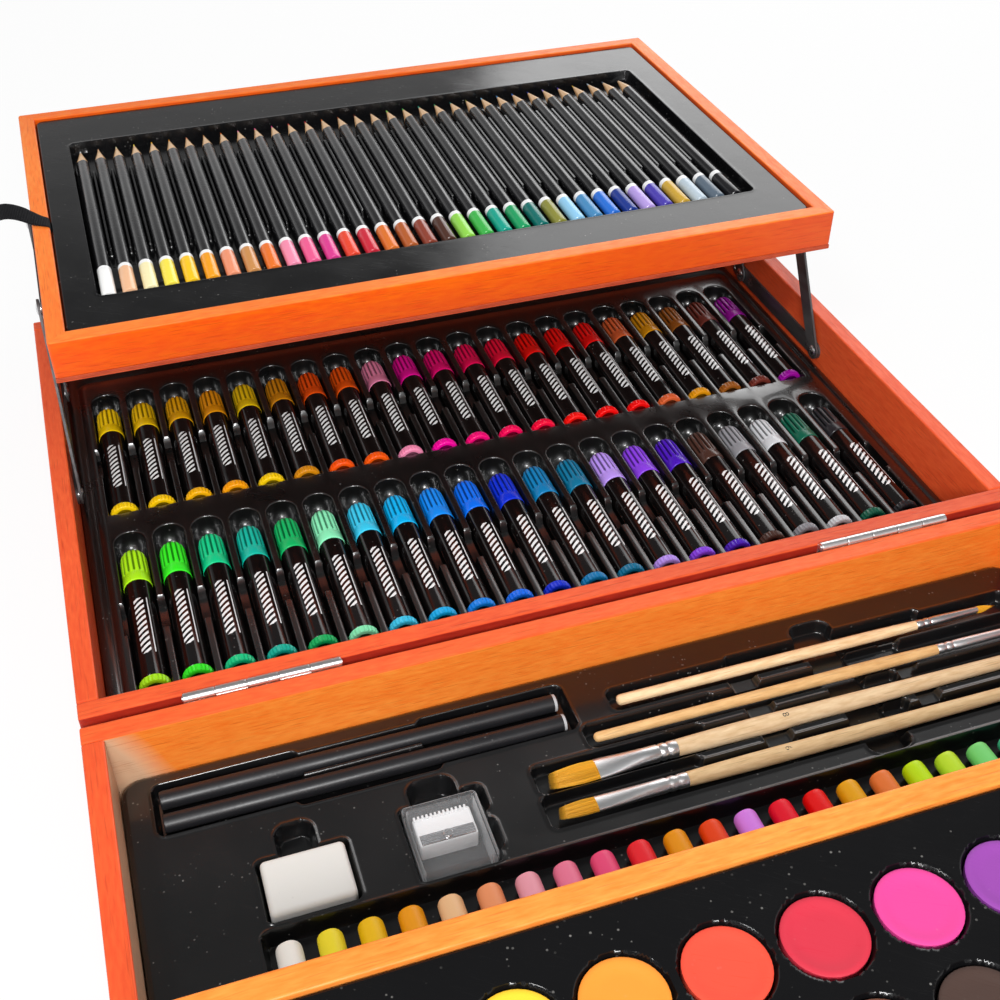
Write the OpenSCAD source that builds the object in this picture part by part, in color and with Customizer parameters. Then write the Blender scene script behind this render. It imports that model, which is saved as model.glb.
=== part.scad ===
// Hinged wooden art case, lying open flat, with a lift-out tray in each half.
// Millimetres. +Z is up, +X runs along the hinges, +Y points from the lid to the base half.
// The origin is the centre of the base half's underside.

/* [Case] */
// Outside width of the case, along the hinges
case_w = 441; // [430:1:460]
// Outside depth of each half of the case
half_d = 314; // [312:1:320]
// Outside height of each half, with its board
half_h = 45; // [45:1:50]
// Thickness of the case walls
wall_t = 9; // [8:0.5:9]
// Thickness of the plywood board under each half
board_t = 3; // [2.5:0.5:3]

/* [Hinges] */
// Gap between the two back walls when the case is open flat
hinge_gap = 4.7; // [4.7:0.1:5.2]
// Length of each butt hinge
hinge_len = 66; // [50:1:80]
// Distance from the middle of the case to the middle of each hinge
hinge_x = 146; // [130:1:160]
// Outside radius of the hinge knuckles
knuckle_r = 2.05; // [1.9:0.05:2.05]
// Radius of the hinge pins
hinge_pin_r = 1; // [0.8:0.1:1]

/* [Trays] */
// Outside width of each tray
tray_w = 414; // [403:1:414]
// Outside depth of each tray
tray_d = 271; // [268:1:272]
// Outside height of each tray, with its board
tray_h = 22.5; // [21:0.5:22.5]
// Thickness of the tray walls
tray_wall_t = 9; // [8:0.5:9]
// Thickness of the plywood board under each tray
tray_board_t = 2.5; // [2:0.5:2.5]

/* [Lift links] */
// Distance between the two pivots of one link
link_len = 94.5; // [93:0.5:95]
// Distance between the front and the rear link on one side
link_pitch = 94; // [93:0.5:94]
// Width of the links and of the rails that they are riveted to
link_w = 10; // [9:0.5:10]
// Thickness of the links and rails
link_t = 1.2; // [1:0.1:1.2]
// How far the raised links lean back from upright, in degrees
link_lean = 31; // [28:1:34]
// Height of the fixed pivots above the table
pivot_z = 24; // [23:0.5:25]
// Fixed front pivot, measured back from the middle of the half
pivot_y = 16.4; // [14:0.2:18]
// Radius of the pivot rivets
rivet_r = 2; // [1.8:0.1:2.2]

/* [Markers] */
// Markers in each of the two rows
markers_per_row = 21; // [19:1:21]
// Distance between neighbouring markers
marker_pitch = 19.07; // [19:0.01:19.1]
// Radius of a marker's end plug, its widest place
marker_r = 7.45; // [7:0.05:7.45]
// Length of a marker from its plug to the end of its cap
marker_len = 93.7; // [86:0.1:93.7]

/* [Pencils] */
// Pencils in the raised tray
pencil_count = 34; // [30:1:34]
// Distance between neighbouring pencils
pencil_pitch = 10.4; // [10.2:0.1:10.4]
// Diameter of a pencil
pencil_d = 7.4; // [7:0.1:7.4]
// Length of a pencil with its sharpened point
pencil_len = 176; // [170:1:178]

/* [Pastels and paints] */
// Oil pastels in each of the two rows of the lid
pastels_per_row = 24; // [20:1:24]
// Distance between neighbouring oil pastels
pastel_pitch = 15.4; // [15:0.1:15.4]
// Radius of an oil pastel in its paper
pastel_r = 5.3; // [5:0.1:5.3]
// Watercolour cakes in each of the two rows of the lid's tray
cakes_per_row = 12; // [10:1:12]
// Wax crayons in the lid's tray
crayon_count = 24; // [20:1:24]

/* [Hidden] */
$fn = 48;

red_wood = "#c9482c";
orange_wood = "#e0692e";
black_plastic = "#1b1a1c";
steel = "#b9bcc0";
dark_steel = "#6d6f74";

// The two halves turn about one axis, in the gap between them at rim height.
hinge_y = -half_d / 2 - hinge_gap / 2;
lid_mid_y = 2 * hinge_y;
leaf_t = 1.1;
leaf_h = 16;
leaf_gap = 0.3;
knuckles = 5;
knuckle_gap = 0.2;
knuckle_len = hinge_len / knuckles;

// Across each side gap, from the case wall inwards: rail, washer gap, link, gap, tray rail.
inner_x = case_w / 2 - wall_t;
inner_y = half_d / 2 - wall_t;
rail_x = inner_x - link_t;
link_x = rail_x - 0.4 - link_t;
tray_x = tray_w / 2;
hole_play = 0.02;
turn_play = 0.06;
open_play = 0.25;
head_r = 3.5;
head_t = 1;
washer_r = 3.2;
side_play = 0.05;
stop_r = 1.8;
stop_back = 8.3;
rail_back = 12.5;
case_screw_dy = [7.6, link_pitch - 11.6];
tray_screw_dy = [link_pitch / 2 - 12, link_pitch / 2 + 12];

// Raised tray, from the links' lean
link_dy = link_len * sin(link_lean);
link_dz = link_len * cos(link_lean);
tray_pivot_y = pivot_y + link_dy;
tray_pivot_z = pivot_z + link_dz;
tray_y0 = tray_pivot_y - 50;
tray_top = tray_pivot_z + 9.6;
tray_bottom = tray_top - tray_h;

// Formed black plastic inserts
sheet_t = 0.8;
insert_gap = 0.5;
rest_gap = 0.05;
marker_insert_top = 16;
tool_insert_top = 18;
pencil_insert_top = tray_top - 1.5;

// Markers lie along Y, caps towards +Y
slot_r = marker_r + 0.25;
slot_len = 109.3;
slot_z = board_t + sheet_t + slot_r + rest_gap;
marker_z = slot_z - slot_r + marker_r + rest_gap;
marker_x0 = -190.2;
marker_row_y = [-120.6, 4.7];
marker_start = 1.8;
plug_len = 3.8;
cap_len = 25;
marker_trough = [36.8, 57];

// Pencils lie along Y, dipped ends towards -Y
pencil_x0 = -175;
pencil_y0 = 55.5;
pencil_z = pencil_insert_top - 2.9;
bay_x = [-180, 178.5];
bay_y = [54.5, 237];
bay_floor = pencil_z - pencil_d / 2 - rest_gap;
rib_y = [103, 200];
rib_w = 1.6;
cone_len = 20;
ribbon_y = 128;
ribbon_w = 11;
ribbon_t = 0.4;
ribbon_slant = 0.75;

// Tools in the lid, along X, which lie a little askew in their slots
tool_lean = -0.4;
stick_r = 3.9;
stick_x = [-196, -26];
stick_y = [-185, -196.8];
stick_z = tool_insert_top - 1.8;
sharpener_x = [-105.5, -74.5];
sharpener_y = [-255, -222];
sharpener_z = [board_t + sheet_t + 0.2, 21];
eraser_x = [-164, -130];
eraser_y = [-254, -228];
eraser_floor = 8;
// Each brush: x of the handle's end, of the ferrule's two ends and of the tuft's tip, then y,
// the ferrule's half width at the tuft, the tuft's half thickness there, and the handle's
// largest radius and the radius near its end
brushes = [
    [-1, 147.5, 180, 190, -194.8, 1.6, 1.6, 2.65, 2.45],
    [-18, 148, 184, 196, -211.2, 2, 2, 2.8, 2.2],
    [185, 13, -23, -45.2, -226, 5.2, 1.4, 4.1, 3],
    [175, 10.5, -29.5, -46.5, -242.4, 3.8, 1.3, 3.6, 2.9]
];
brush_r = 4.1;
brush_z = tool_insert_top - 0.9;
strands_wide = 15;
strands_deep = 5;
round_count = 84;

// Oil pastels lie along Y, bare ends towards the hinge
pastel_x0 = -160;
pastel_y0 = [-324.8, -398.8];
pastel_len = 60;
pastel_bare = 12;
pastel_z = tool_insert_top - 2.6;

// Lid tray contents
cake_r = 13;
cake_pitch = 31;
cake_h = 5;
cake_y = [-372, -406];
crayon_r = 4;
crayon_len = 90;
crayon_pitch = 15;
crayon_y0 = -546;
crayon_z = pencil_insert_top - 3.2;

// Handle and latches on the walls opposite the hinges
handle_y = half_d / 2 + 6;
handle_z = 22.5;
handle_r = 5;
handle_reach = 30;
handle_w = 104;
handle_pin_r = 2;
handle_drop = asin((handle_z - handle_r - 0.3) / handle_reach);
latch_x = 120;
latch_wall_y = lid_mid_y - half_d / 2;
latch_y = latch_wall_y - 3.2;
latch_z = 31;
latch_len = 26.5;
latch_slot = [-23.5, -17.5];

// ---- shapes used by more than one piece ----

// Box from its lowest to its highest corner
module box(lo, hi) { translate(lo) cube(hi - lo); }

// Cylinder along X from x1 to x2
module round_x(x1, x2, y, z, r, r2 = -1) {
    translate([x1, y, z]) rotate([0, 90, 0])
        cylinder(h = x2 - x1, r1 = r, r2 = r2 < 0 ? r : r2);
}

// Cylinder along Y from y1 to y2
module round_y(x, y1, y2, z, r, r2 = -1) {
    translate([x, y1, z]) rotate([-90, 0, 0])
        cylinder(h = y2 - y1, r1 = r, r2 = r2 < 0 ? r : r2);
}

// Outline with four round corners, from its lowest to its highest corner
module round_rect(lo, hi, r) {
    translate([lo[0] + r, lo[1]]) square([hi[0] - lo[0] - 2 * r, hi[1] - lo[1]]);
    translate([lo[0], lo[1] + r]) square([hi[0] - lo[0], hi[1] - lo[1] - 2 * r]);
    for (x = [lo[0] + r, hi[0] - r], y = [lo[1] + r, hi[1] - r]) translate([x, y]) circle(r);
}

// Straight-sided block over a round-cornered outline
module round_block(lo, hi, z1, z2, r) {
    translate([0, 0, z1]) linear_extrude(z2 - z1) round_rect(lo, hi, r);
}

// Anything drawn for the base half, turned over to the lid half
module on_lid() { translate([0, lid_mid_y, 0]) mirror([0, 1, 0]) children(); }

// Both sides of the case
module both_sides() {
    children();
    mirror([1, 0, 0]) children();
}

// ---- case ----

module hinge_wall() difference() {
    box([-case_w / 2, -half_d / 2, board_t], [case_w / 2, -inner_y, half_h]);
    leaf_screws(hole_play);
}

module far_wall() {
    box([-case_w / 2, inner_y, board_t], [case_w / 2, half_d / 2, half_h]);
}

module end_wall(side) difference() {
    x = side < 0 ? -case_w / 2 : inner_x;
    box([x, -inner_y, board_t], [x + wall_t, inner_y, half_h]);
    case_rail_screws(hole_play);
}

module case_board() { box([-case_w / 2, -half_d / 2, 0], [case_w / 2, half_d / 2, board_t]); }

module base_hinge_wall() color(red_wood) hinge_wall();
module base_handle_wall() color(red_wood) far_wall();
module base_left_wall() color(red_wood) end_wall(-1);
module base_right_wall() color(red_wood) end_wall(1);
module base_board() color(red_wood) case_board();
module lid_hinge_wall() color(red_wood) on_lid() hinge_wall();
module lid_latch_wall() color(red_wood) on_lid() far_wall();
module lid_left_wall() color(red_wood) on_lid() end_wall(-1);
module lid_right_wall() color(red_wood) on_lid() end_wall(1);
module lid_board() color(red_wood) on_lid() case_board();

// ---- butt hinges ----

function knuckle_x(i) = -hinge_len / 2 + i * knuckle_len;

// One leaf on a back wall, with the knuckles whose number is odd or even
module hinge_leaf(first, play) {
    face_y = -half_d / 2;
    difference() {
        union() {
            box([-hinge_len / 2, face_y - leaf_t, half_h - leaf_h],
                [hinge_len / 2, face_y, half_h]);
            for (i = [first:2:knuckles - 1])
                round_x(knuckle_x(i) + knuckle_gap / 2, knuckle_x(i + 1) - knuckle_gap / 2,
                        hinge_y, half_h, knuckle_r);
        }
        for (i = [0:knuckles - 1]) if ((i - first) % 2 != 0)
            box([knuckle_x(i) - knuckle_gap / 2, face_y - 3, half_h - knuckle_r - leaf_gap],
                [knuckle_x(i + 1) + knuckle_gap / 2, face_y + 1, half_h + 1]);
        round_x(-hinge_len, hinge_len, hinge_y, half_h, hinge_pin_r + play);
        for (x = leaf_screw_x()) leaf_screw(x, 0.02);
    }
}

function leaf_screw_x() = [-hinge_len * 0.36, 0, hinge_len * 0.36];

// Countersunk screw, flush in the leaf
module leaf_screw(x, play) {
    round_y(x, -half_d / 2 - leaf_t, -half_d / 2, half_h - 10.5, 2.3 + play, 1.2 + play);
    round_y(x, -half_d / 2, -half_d / 2 + 6, half_h - 10.5, 1.2 + play, 0.8 + play);
}

module each_hinge() { for (x = [-hinge_x, hinge_x]) translate([x, 0, 0]) children(); }

module base_hinge_leaves() color(steel) each_hinge() hinge_leaf(0, hole_play);
module lid_hinge_leaves() color(steel) on_lid() each_hinge() hinge_leaf(1, turn_play);
module hinge_pins() color(steel) each_hinge()
    round_x(-hinge_len / 2 - 0.4, hinge_len / 2 + 0.4, hinge_y, half_h, hinge_pin_r);

// ---- lift links, drawn on the +X side ----

// Flat bar in the YZ plane with round ends and a hole at each end
module link_bar(y1, z1, y2, z2, x, far_play) {
    angle = atan2(z2 - z1, y2 - y1);
    length = norm([y2 - y1, z2 - z1]);
    translate([x, y1, z1]) rotate([angle, 0, 0]) difference() {
        union() {
            box([0, 0, -link_w / 2], [link_t, length, link_w / 2]);
            round_x(0, link_t, 0, 0, link_w / 2);
            round_x(0, link_t, length, 0, link_w / 2);
        }
        round_x(-1, link_t + 1, 0, 0, rivet_r + turn_play);
        round_x(-1, link_t + 1, length, 0, rivet_r + far_play);
    }
}

module front_links() both_sides()
    link_bar(pivot_y, pivot_z, tray_pivot_y, tray_pivot_z, link_x, turn_play);
module rear_links() both_sides()
    link_bar(pivot_y + link_pitch, pivot_z, tray_pivot_y + link_pitch, tray_pivot_z,
             link_x, open_play);

// Rail with two pivot holes, two screw holes and a round end at each pivot
module rail(x, y, z, back) {
    difference() {
        union() {
            box([x, y, z - link_w / 2], [x + link_t, y + link_pitch + back, z + link_w / 2]);
            round_x(x, x + link_t, y, z, link_w / 2);
            round_x(x, x + link_t, y + link_pitch + back, z, link_w / 2);
        }
        for (dy = [0, link_pitch]) round_x(x - 1, x + link_t + 1, y + dy, z, rivet_r + hole_play);
        if (back > 0)
            round_x(x - 1, x + link_t + 1, y + link_pitch + stop_back, z, stop_r + hole_play);
        for (dy = back > 0 ? case_screw_dy : tray_screw_dy)
            rail_screw(x, y + dy, z, hole_play, back == 0);
    }
}

// Countersunk wood screw, flush in the rail: into the case wall, or into the tray wall
module rail_screw(x, y, z, play, into_tray) {
    if (into_tray) {
        round_x(x, x + link_t, y, z, 1.4 + play, 2.6 + play);
        round_x(x - 5, x, y, z, 0.9 + play, 1.4 + play);
    } else {
        round_x(x, x + link_t, y, z, 2.6 + play, 1.4 + play);
        round_x(x + link_t, x + link_t + 5, y, z, 1.4 + play, 0.9 + play);
    }
}

module case_rails() both_sides() rail(rail_x, pivot_y, pivot_z, rail_back - link_w / 2);
module tray_rails() both_sides() rail(tray_x, tray_pivot_y, tray_pivot_z, 0);

// Rivets through case rail and link, with a washer between them and a head on the link,
// and the stop pin behind each rear link
module case_rivets() both_sides() {
    for (dy = [0, link_pitch]) {
        round_x(link_x - side_play, inner_x, pivot_y + dy, pivot_z, rivet_r);
        round_x(link_x - side_play - head_t, link_x - side_play, pivot_y + dy, pivot_z,
                head_r * 0.75, head_r);
        round_x(link_x + link_t + side_play, rail_x, pivot_y + dy, pivot_z, washer_r);
    }
    round_x(link_x - 0.2, inner_x, pivot_y + link_pitch + stop_back, pivot_z, stop_r);
}

// Rivets through tray rail and link, with a washer between them and a head on the link
module tray_rivets() both_sides() for (dy = [0, link_pitch]) {
    far_x = link_x + link_t + side_play;
    round_x(tray_x, far_x, tray_pivot_y + dy, tray_pivot_z, rivet_r);
    round_x(far_x, far_x + head_t, tray_pivot_y + dy, tray_pivot_z, head_r, head_r * 0.75);
    round_x(tray_x + link_t, link_x - side_play, tray_pivot_y + dy, tray_pivot_z, washer_r);
}

module case_rail_screws(play) both_sides()
    for (dy = case_screw_dy) rail_screw(rail_x, pivot_y + dy, pivot_z, play, false);

module tray_rail_screws(play) both_sides()
    for (dy = tray_screw_dy) rail_screw(tray_x, tray_pivot_y + dy, tray_pivot_z, play, true);

module leaf_screws(play) each_hinge() for (x = leaf_screw_x()) leaf_screw(x, play);

module half_wood_screws() {
    case_rail_screws(0);
    leaf_screws(0);
}

module tray_fixings() {
    tray_rivets();
    tray_rail_screws(0);
}

module base_rails() color(dark_steel) case_rails();
module base_rivets() color(steel) case_rivets();
module base_wood_screws() color(steel) half_wood_screws();
module pencil_front_links() color(dark_steel) front_links();
module pencil_rear_links() color(dark_steel) rear_links();
module pencil_tray_rails() color(dark_steel) tray_rails();
module pencil_tray_fixings() color(steel) tray_fixings();
module lid_rails() color(dark_steel) on_lid() case_rails();
module lid_rivets() color(steel) on_lid() case_rivets();
module lid_wood_screws() color(steel) on_lid() half_wood_screws();
module lid_front_links() color(dark_steel) on_lid() front_links();
module lid_rear_links() color(dark_steel) on_lid() rear_links();
module lid_tray_rails() color(dark_steel) on_lid() tray_rails();
module lid_tray_fixings() color(steel) on_lid() tray_fixings();

// ---- trays: mitred frames on a plywood board ----

// Mitred wall of length l along X, its outside face on y = 0
module mitred_wall(l) {
    translate([0, 0, tray_bottom + tray_board_t]) linear_extrude(tray_h - tray_board_t)
        polygon([[-l / 2, 0], [l / 2, 0], [l / 2 - tray_wall_t, tray_wall_t],
                 [-l / 2 + tray_wall_t, tray_wall_t]]);
}

module tray_front_wall() translate([0, tray_y0, 0]) mitred_wall(tray_w);
module tray_rear_wall() translate([0, tray_y0 + tray_d, 0]) mirror([0, 1, 0]) mitred_wall(tray_w);
module tray_side_walls() difference() {
    both_sides() translate([tray_w / 2, tray_y0 + tray_d / 2, 0]) rotate([0, 0, 90])
        mitred_wall(tray_d);
    tray_rail_screws(hole_play);
}
module tray_board() box([-tray_w / 2, tray_y0, tray_bottom],
                        [tray_w / 2, tray_y0 + tray_d, tray_bottom + tray_board_t]);

module pencil_tray_front_wall() color(orange_wood) tray_front_wall();
module pencil_tray_rear_wall() color(orange_wood) tray_rear_wall();
module pencil_tray_side_walls() color(orange_wood) tray_side_walls();
module pencil_tray_board() color(red_wood) tray_board();
module lid_tray_long_walls() color(orange_wood) on_lid() {
    tray_front_wall();
    tray_rear_wall();
}
module lid_tray_side_walls() color(orange_wood) on_lid() tray_side_walls();
module lid_tray_board() color(red_wood) on_lid() tray_board();

// ---- formed inserts ----

// Flat sheet with a skirt that stands on the board
module formed_sheet(lo, hi, z1, z2) {
    box([lo[0], lo[1], z2 - sheet_t], [hi[0], hi[1], z2]);
    for (x = [lo[0], hi[0] - sheet_t]) box([x, lo[1], z1], [x + sheet_t, hi[1], z2]);
    for (y = [lo[1], hi[1] - sheet_t]) box([lo[0], y, z1], [hi[0], y + sheet_t, z2]);
}

// A marker slot of radius r: half-round trough with upright sides and a ball-shaped far end
module marker_slot(r, y1, top) {
    end_y = y1 + slot_len - slot_r;
    start_y = y1 - (r - slot_r);
    round_y(0, start_y, end_y, slot_z, r);
    box([-r, start_y, slot_z], [r, end_y, top]);
    translate([0, end_y, 0]) rotate_extrude(angle = 180)
        difference() {
            union() {
                translate([0, slot_z]) circle(r);
                translate([0, slot_z]) square([r, top - slot_z]);
            }
            translate([-2 * r, slot_z - 2 * r]) square([2 * r, 4 * r]);
        }
}

module each_slot() {
    for (y = marker_row_y, i = [0:markers_per_row - 1])
        translate([marker_x0 + i * marker_pitch, y, 0]) children();
}

// Finger trough across one row of slots
module finger_trough(y, grow) {
    half = marker_pitch * (markers_per_row - 1) / 2 + slot_r + 2 + grow;
    mid = marker_x0 + marker_pitch * (markers_per_row - 1) / 2;
    round_block([mid - half, y + marker_trough[0] - grow],
                [mid + half, y + marker_trough[1] + grow],
                slot_z - 2 - grow, marker_insert_top + (grow > 0 ? 0 : 1), 2 + grow);
}

module marker_insert() color(black_plastic) {
    lo = [-inner_x + insert_gap, -inner_y + insert_gap];
    difference() {
        union() {
            formed_sheet(lo, -lo, board_t, marker_insert_top);
            each_slot() marker_slot(slot_r + sheet_t, 0, marker_insert_top);
            for (y = marker_row_y) finger_trough(y, sheet_t);
        }
        each_slot() marker_slot(slot_r, 0, marker_insert_top + 1);
        for (y = marker_row_y) finger_trough(y, 0);
    }
}

module each_marker() each_slot() translate([0, marker_start, marker_z]) children();

module marker_barrels() color(black_plastic) each_marker()
    round_y(0, plug_len, marker_len - cap_len, 0, marker_r - 0.8);

// Cap: slightly tapered wall, rounded shoulder and a flat end
module marker_caps() color("#f2b705") each_marker()
    translate([0, marker_len - cap_len, 0]) rotate([-90, 0, 0]) {
        cylinder(h = cap_len - 4, r1 = marker_r - 0.65, r2 = marker_r - 1.2);
        translate([0, 0, cap_len - 4]) cylinder(h = 3, r1 = marker_r - 1.2, r2 = marker_r - 2.1);
        translate([0, 0, cap_len - 1]) cylinder(h = 1, r1 = marker_r - 2.1, r2 = marker_r - 3.2);
    }

// End plug with a round hollow in its face
module marker_end_plugs() color("#f2b705") each_marker() difference() {
    round_y(0, 0, plug_len, 0, marker_r);
    round_y(0, -0.1, plug_len - 1, 0, marker_r * 0.6);
}

// Tray sheet with one bay, and ribs that part the pencils
module pencil_insert() color(black_plastic) {
    lo = [-tray_w / 2 + tray_wall_t + insert_gap, tray_y0 + tray_wall_t + insert_gap];
    hi = [-lo[0], tray_y0 + tray_d - tray_wall_t - insert_gap];
    difference() {
        union() {
            formed_sheet(lo, hi, tray_bottom + tray_board_t, pencil_insert_top);
            round_block([bay_x[0] - sheet_t, bay_y[0] - sheet_t],
                        [bay_x[1] + sheet_t, bay_y[1] + sheet_t],
                        bay_floor - sheet_t, pencil_insert_top, 3 + sheet_t);
        }
        round_block([bay_x[0], bay_y[0]], [bay_x[1], bay_y[1]],
                    bay_floor, pencil_insert_top + 1, 3);
    }
    for (i = [0:pencil_count - 2]) {
        x = pencil_x0 + (i + 0.5) * pencil_pitch;
        box([x - rib_w / 2, rib_y[0], bay_floor - sheet_t / 2],
            [x + rib_w / 2, rib_y[1], pencil_z + 1.5]);
    }
}

// Round pencils with a sharpened cone
module pencils() color("#2a2a2c") for (i = [0:pencil_count - 1])
    translate([pencil_x0 + i * pencil_pitch, pencil_y0, pencil_z]) rotate([-90, 0, 0]) {
        cylinder(h = pencil_len - cone_len, r = pencil_d / 2, $fn = 32);
        translate([0, 0, pencil_len - cone_len])
            cylinder(h = cone_len, r1 = pencil_d / 2 - 0.1, r2 = 0.4, $fn = 32);
    }

// Tab of black ribbon, tucked between the insert and the left wall of the tray. It lies over
// the wall, leans back as it goes out, and dips at its free end.
module pull_ribbon() color("#151515") {
    rim = tray_top;
    wall_x = -tray_w / 2 + tray_wall_t;
    path = [[wall_x + 0.05, rim - 12], [wall_x + 0.05, rim + 0.1], [wall_x - 0.3, rim + 0.4],
            [wall_x - 1.5, rim + 0.5], [wall_x - 9, rim + 0.7], [wall_x - 14, rim + 1.8],
            [wall_x - 20, rim + 3.6], [wall_x - 27, rim + 4.4], [wall_x - 33, rim + 4.1]];
    last = len(path) - 1;
    upper = [for (i = [0:last])
        let (a = path[max(i - 1, 0)], b = path[min(i + 1, last)], d = (b - a) / norm(b - a))
        path[i] + ribbon_t * [d[1], -d[0]]];
    translate([0, ribbon_y, 0])
        multmatrix([[1, 0, 0, 0], [-ribbon_slant, 1, 0, ribbon_slant * wall_x], [0, 0, 1, 0]])
            translate([0, ribbon_w, 0]) rotate([90, 0, 0]) linear_extrude(ribbon_w)
                polygon(concat(path, [for (i = [last:-1:0]) upper[i]]));
}

// ---- lid: tools and pastels ----

// Pockets of the tool insert: low corner, high corner, floor height, corner radius
tool_pockets = [
    [[-198, -203], [-22.5, -178.4], stick_z - stick_r - rest_gap, 3],
    [[sharpener_x[0] - 0.5, sharpener_y[0] - 0.5], [sharpener_x[1] + 0.5, sharpener_y[1] + 0.5],
     sharpener_z[0], 2],
    [[-100, -230], [-82, -210], 8, 4],
    [[eraser_x[0] - 0.5, eraser_y[0] - 0.5], [eraser_x[1] + 0.5, eraser_y[1] + 0.5],
     eraser_floor, 2],
    [[-155, -230], [-141, -213], 10, 4],
    [[-4, -199.4], [197, -188.8], brush_z - brush_r - rest_gap, 3],
    [[-21, -215.4], [202, -203.6], brush_z - brush_r - rest_gap, 3],
    [[-49, -231.4], [188, -217.8], brush_z - brush_r - rest_gap, 3],
    [[-50, -248.6], [178, -233.4], brush_z - brush_r - rest_gap, 3],
    [[89.5, -256], [108, -179.2], brush_z - brush_r - 1, 4],
    [[-168, pastel_y0[0] - 6], [201, pastel_y0[0] + pastel_len + 6], pastel_z - pastel_r - rest_gap, 3],
    [[-168, pastel_y0[1] - 6], [201, pastel_y0[1] + pastel_len + 6], pastel_z - pastel_r - rest_gap, 3]
];

module pocket(p, grow, top) {
    round_block([p[0][0] - grow, p[0][1] - grow], [p[1][0] + grow, p[1][1] + grow],
                p[2] - grow, top, p[3] + grow);
}

module tool_insert() color(black_plastic) {
    lo = [-inner_x + insert_gap, lid_mid_y - inner_y + insert_gap];
    hi = [-lo[0], lid_mid_y + inner_y - insert_gap];
    difference() {
        union() {
            formed_sheet(lo, hi, board_t, tool_insert_top);
            for (p = tool_pockets) pocket(p, sheet_t, tool_insert_top);
        }
        for (p = tool_pockets) pocket(p, 0, tool_insert_top + 1);
    }
}

module sketch_sticks() color("#1d1d1f") for (y = stick_y) {
    half = (stick_x[1] - stick_x[0]) / 2;
    translate([stick_x[0] + half, y, 0]) rotate([0, 0, tool_lean])
        round_x(-half, half, 0, stick_z, stick_r);
}

// Clear box, open inside, round the sharpener
module sharpener_case() color("#dfe6ea") difference() {
    round_block([sharpener_x[0], sharpener_y[0]], [sharpener_x[1], sharpener_y[1]],
                sharpener_z[0], sharpener_z[1], 2);
    round_block([sharpener_x[0] + 1, sharpener_y[0] + 1], [sharpener_x[1] - 1, sharpener_y[1] - 1],
                sharpener_z[0] + 1, sharpener_z[1] - 1, 1);
}

// Wedge-shaped metal sharpener with its pencil hole and its blade
module sharpener() color(steel) difference() {
    x = (sharpener_x[0] + sharpener_x[1]) / 2;
    y = sharpener_y[1] - 2.5;
    union() {
        box([x - 12, y - 14, sharpener_z[0] + 1], [x + 12, y, sharpener_z[0] + 10]);
        box([x - 11, y - 12, sharpener_z[0] + 10], [x + 11, y - 3, sharpener_z[0] + 10.8]);
    }
    round_x(x - 13, x + 10, y - 7, sharpener_z[0] + 5, 4, 1);
}

module eraser() color("#f1efe9")
    round_block([eraser_x[0], eraser_y[0]], [eraser_x[1], eraser_y[1]], eraser_floor + rest_gap, 20.5, 2);

// Which way a brush points: 1 where its tuft is on the right
function tuft_side(b) = b[0] < b[1] ? 1 : -1;

// A brush's own place: Z runs along it from the join of handle and ferrule
module along_brush(b, dir)
    translate([b[1], b[4], brush_z]) rotate([0, 0, tool_lean]) rotate([0, 90 * dir, 0]) children();

// Handle: thickest near the ferrule, with a blunt rounded end
module brush_handles() color("#e6c796") for (b = brushes) {
    length = abs(b[0] - b[1]);
    along_brush(b, -tuft_side(b)) {
        cylinder(h = length * 0.25, r1 = b[7] - 0.3, r2 = b[7]);
        translate([0, 0, length * 0.25]) cylinder(h = length * 0.75 - 2, r1 = b[7], r2 = b[8]);
        translate([0, 0, length - 2]) cylinder(h = 1.2, r1 = b[8], r2 = b[8] - 0.4);
        translate([0, 0, length - 0.8]) cylinder(h = 0.8, r1 = b[8] - 0.4, r2 = b[8] - 1.3);
    }
}

// Aluminium ferrule: round at the handle, flattened at the tuft of a flat brush
module brush_ferrules() color("#cfd3d8") for (b = brushes) {
    length = abs(b[2] - b[1]);
    along_brush(b, tuft_side(b)) hull() {
        cylinder(h = length * 0.45, r = b[7] - 0.5, $fn = 32);
        translate([0, 0, length - 1]) linear_extrude(1)
            scale([b[6] / b[5], 1]) circle(b[5], $fn = 32);
    }
}

// Tuft: a slice of backing at the ferrule's mouth, with tapering strands fused to it.
// Every strand draws in towards the tuft's axis at the same rate, so that none cross.
module brush_tufts() color("#d98a2b") union() for (b = brushes) {
    flat = b[5] > 3;
    half_w = b[5] * 0.86;
    half_t = b[6] * 0.86;
    length = abs(b[3] - b[2]);
    along_brush(b, tuft_side(b)) translate([0, 0, abs(b[2] - b[1])]) {
        for (slice = [[0, 1], [0.5, 0.94]]) hull() for (s = [-1, 1])
            translate([0, s * (half_w - half_t) * slice[1], slice[0]])
                cylinder(h = 0.6, r = half_t * slice[1] + 0.02, $fn = 16);
        if (flat) flat_strands(half_w * 0.93, half_t * 0.72, length);
        else round_strands(half_w * 0.88, length);
    }
}

// Strands in a grid, for a flat tuft
module flat_strands(half_w, half_t, length) {
    step_w = 2 * half_w / (strands_wide - 1);
    step_t = 2 * half_t / (strands_deep - 1);
    for (i = [0:strands_wide - 1], j = [0:strands_deep - 1])
        strand([j * step_t - half_t, i * step_w - half_w], 0.86, length,
               0.38 * min(step_w, step_t));
}

// Strands in a sunflower pattern, for a round tuft that comes to a point
module round_strands(radius, length) {
    for (k = [0:round_count - 1]) {
        spread = sqrt((k + 0.5) / round_count);
        strand(radius * spread * [cos(137.5 * k), sin(137.5 * k)], 0.25,
               length * (1 - 0.3 * spread * spread), radius * 0.06, length);
    }
}

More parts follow.
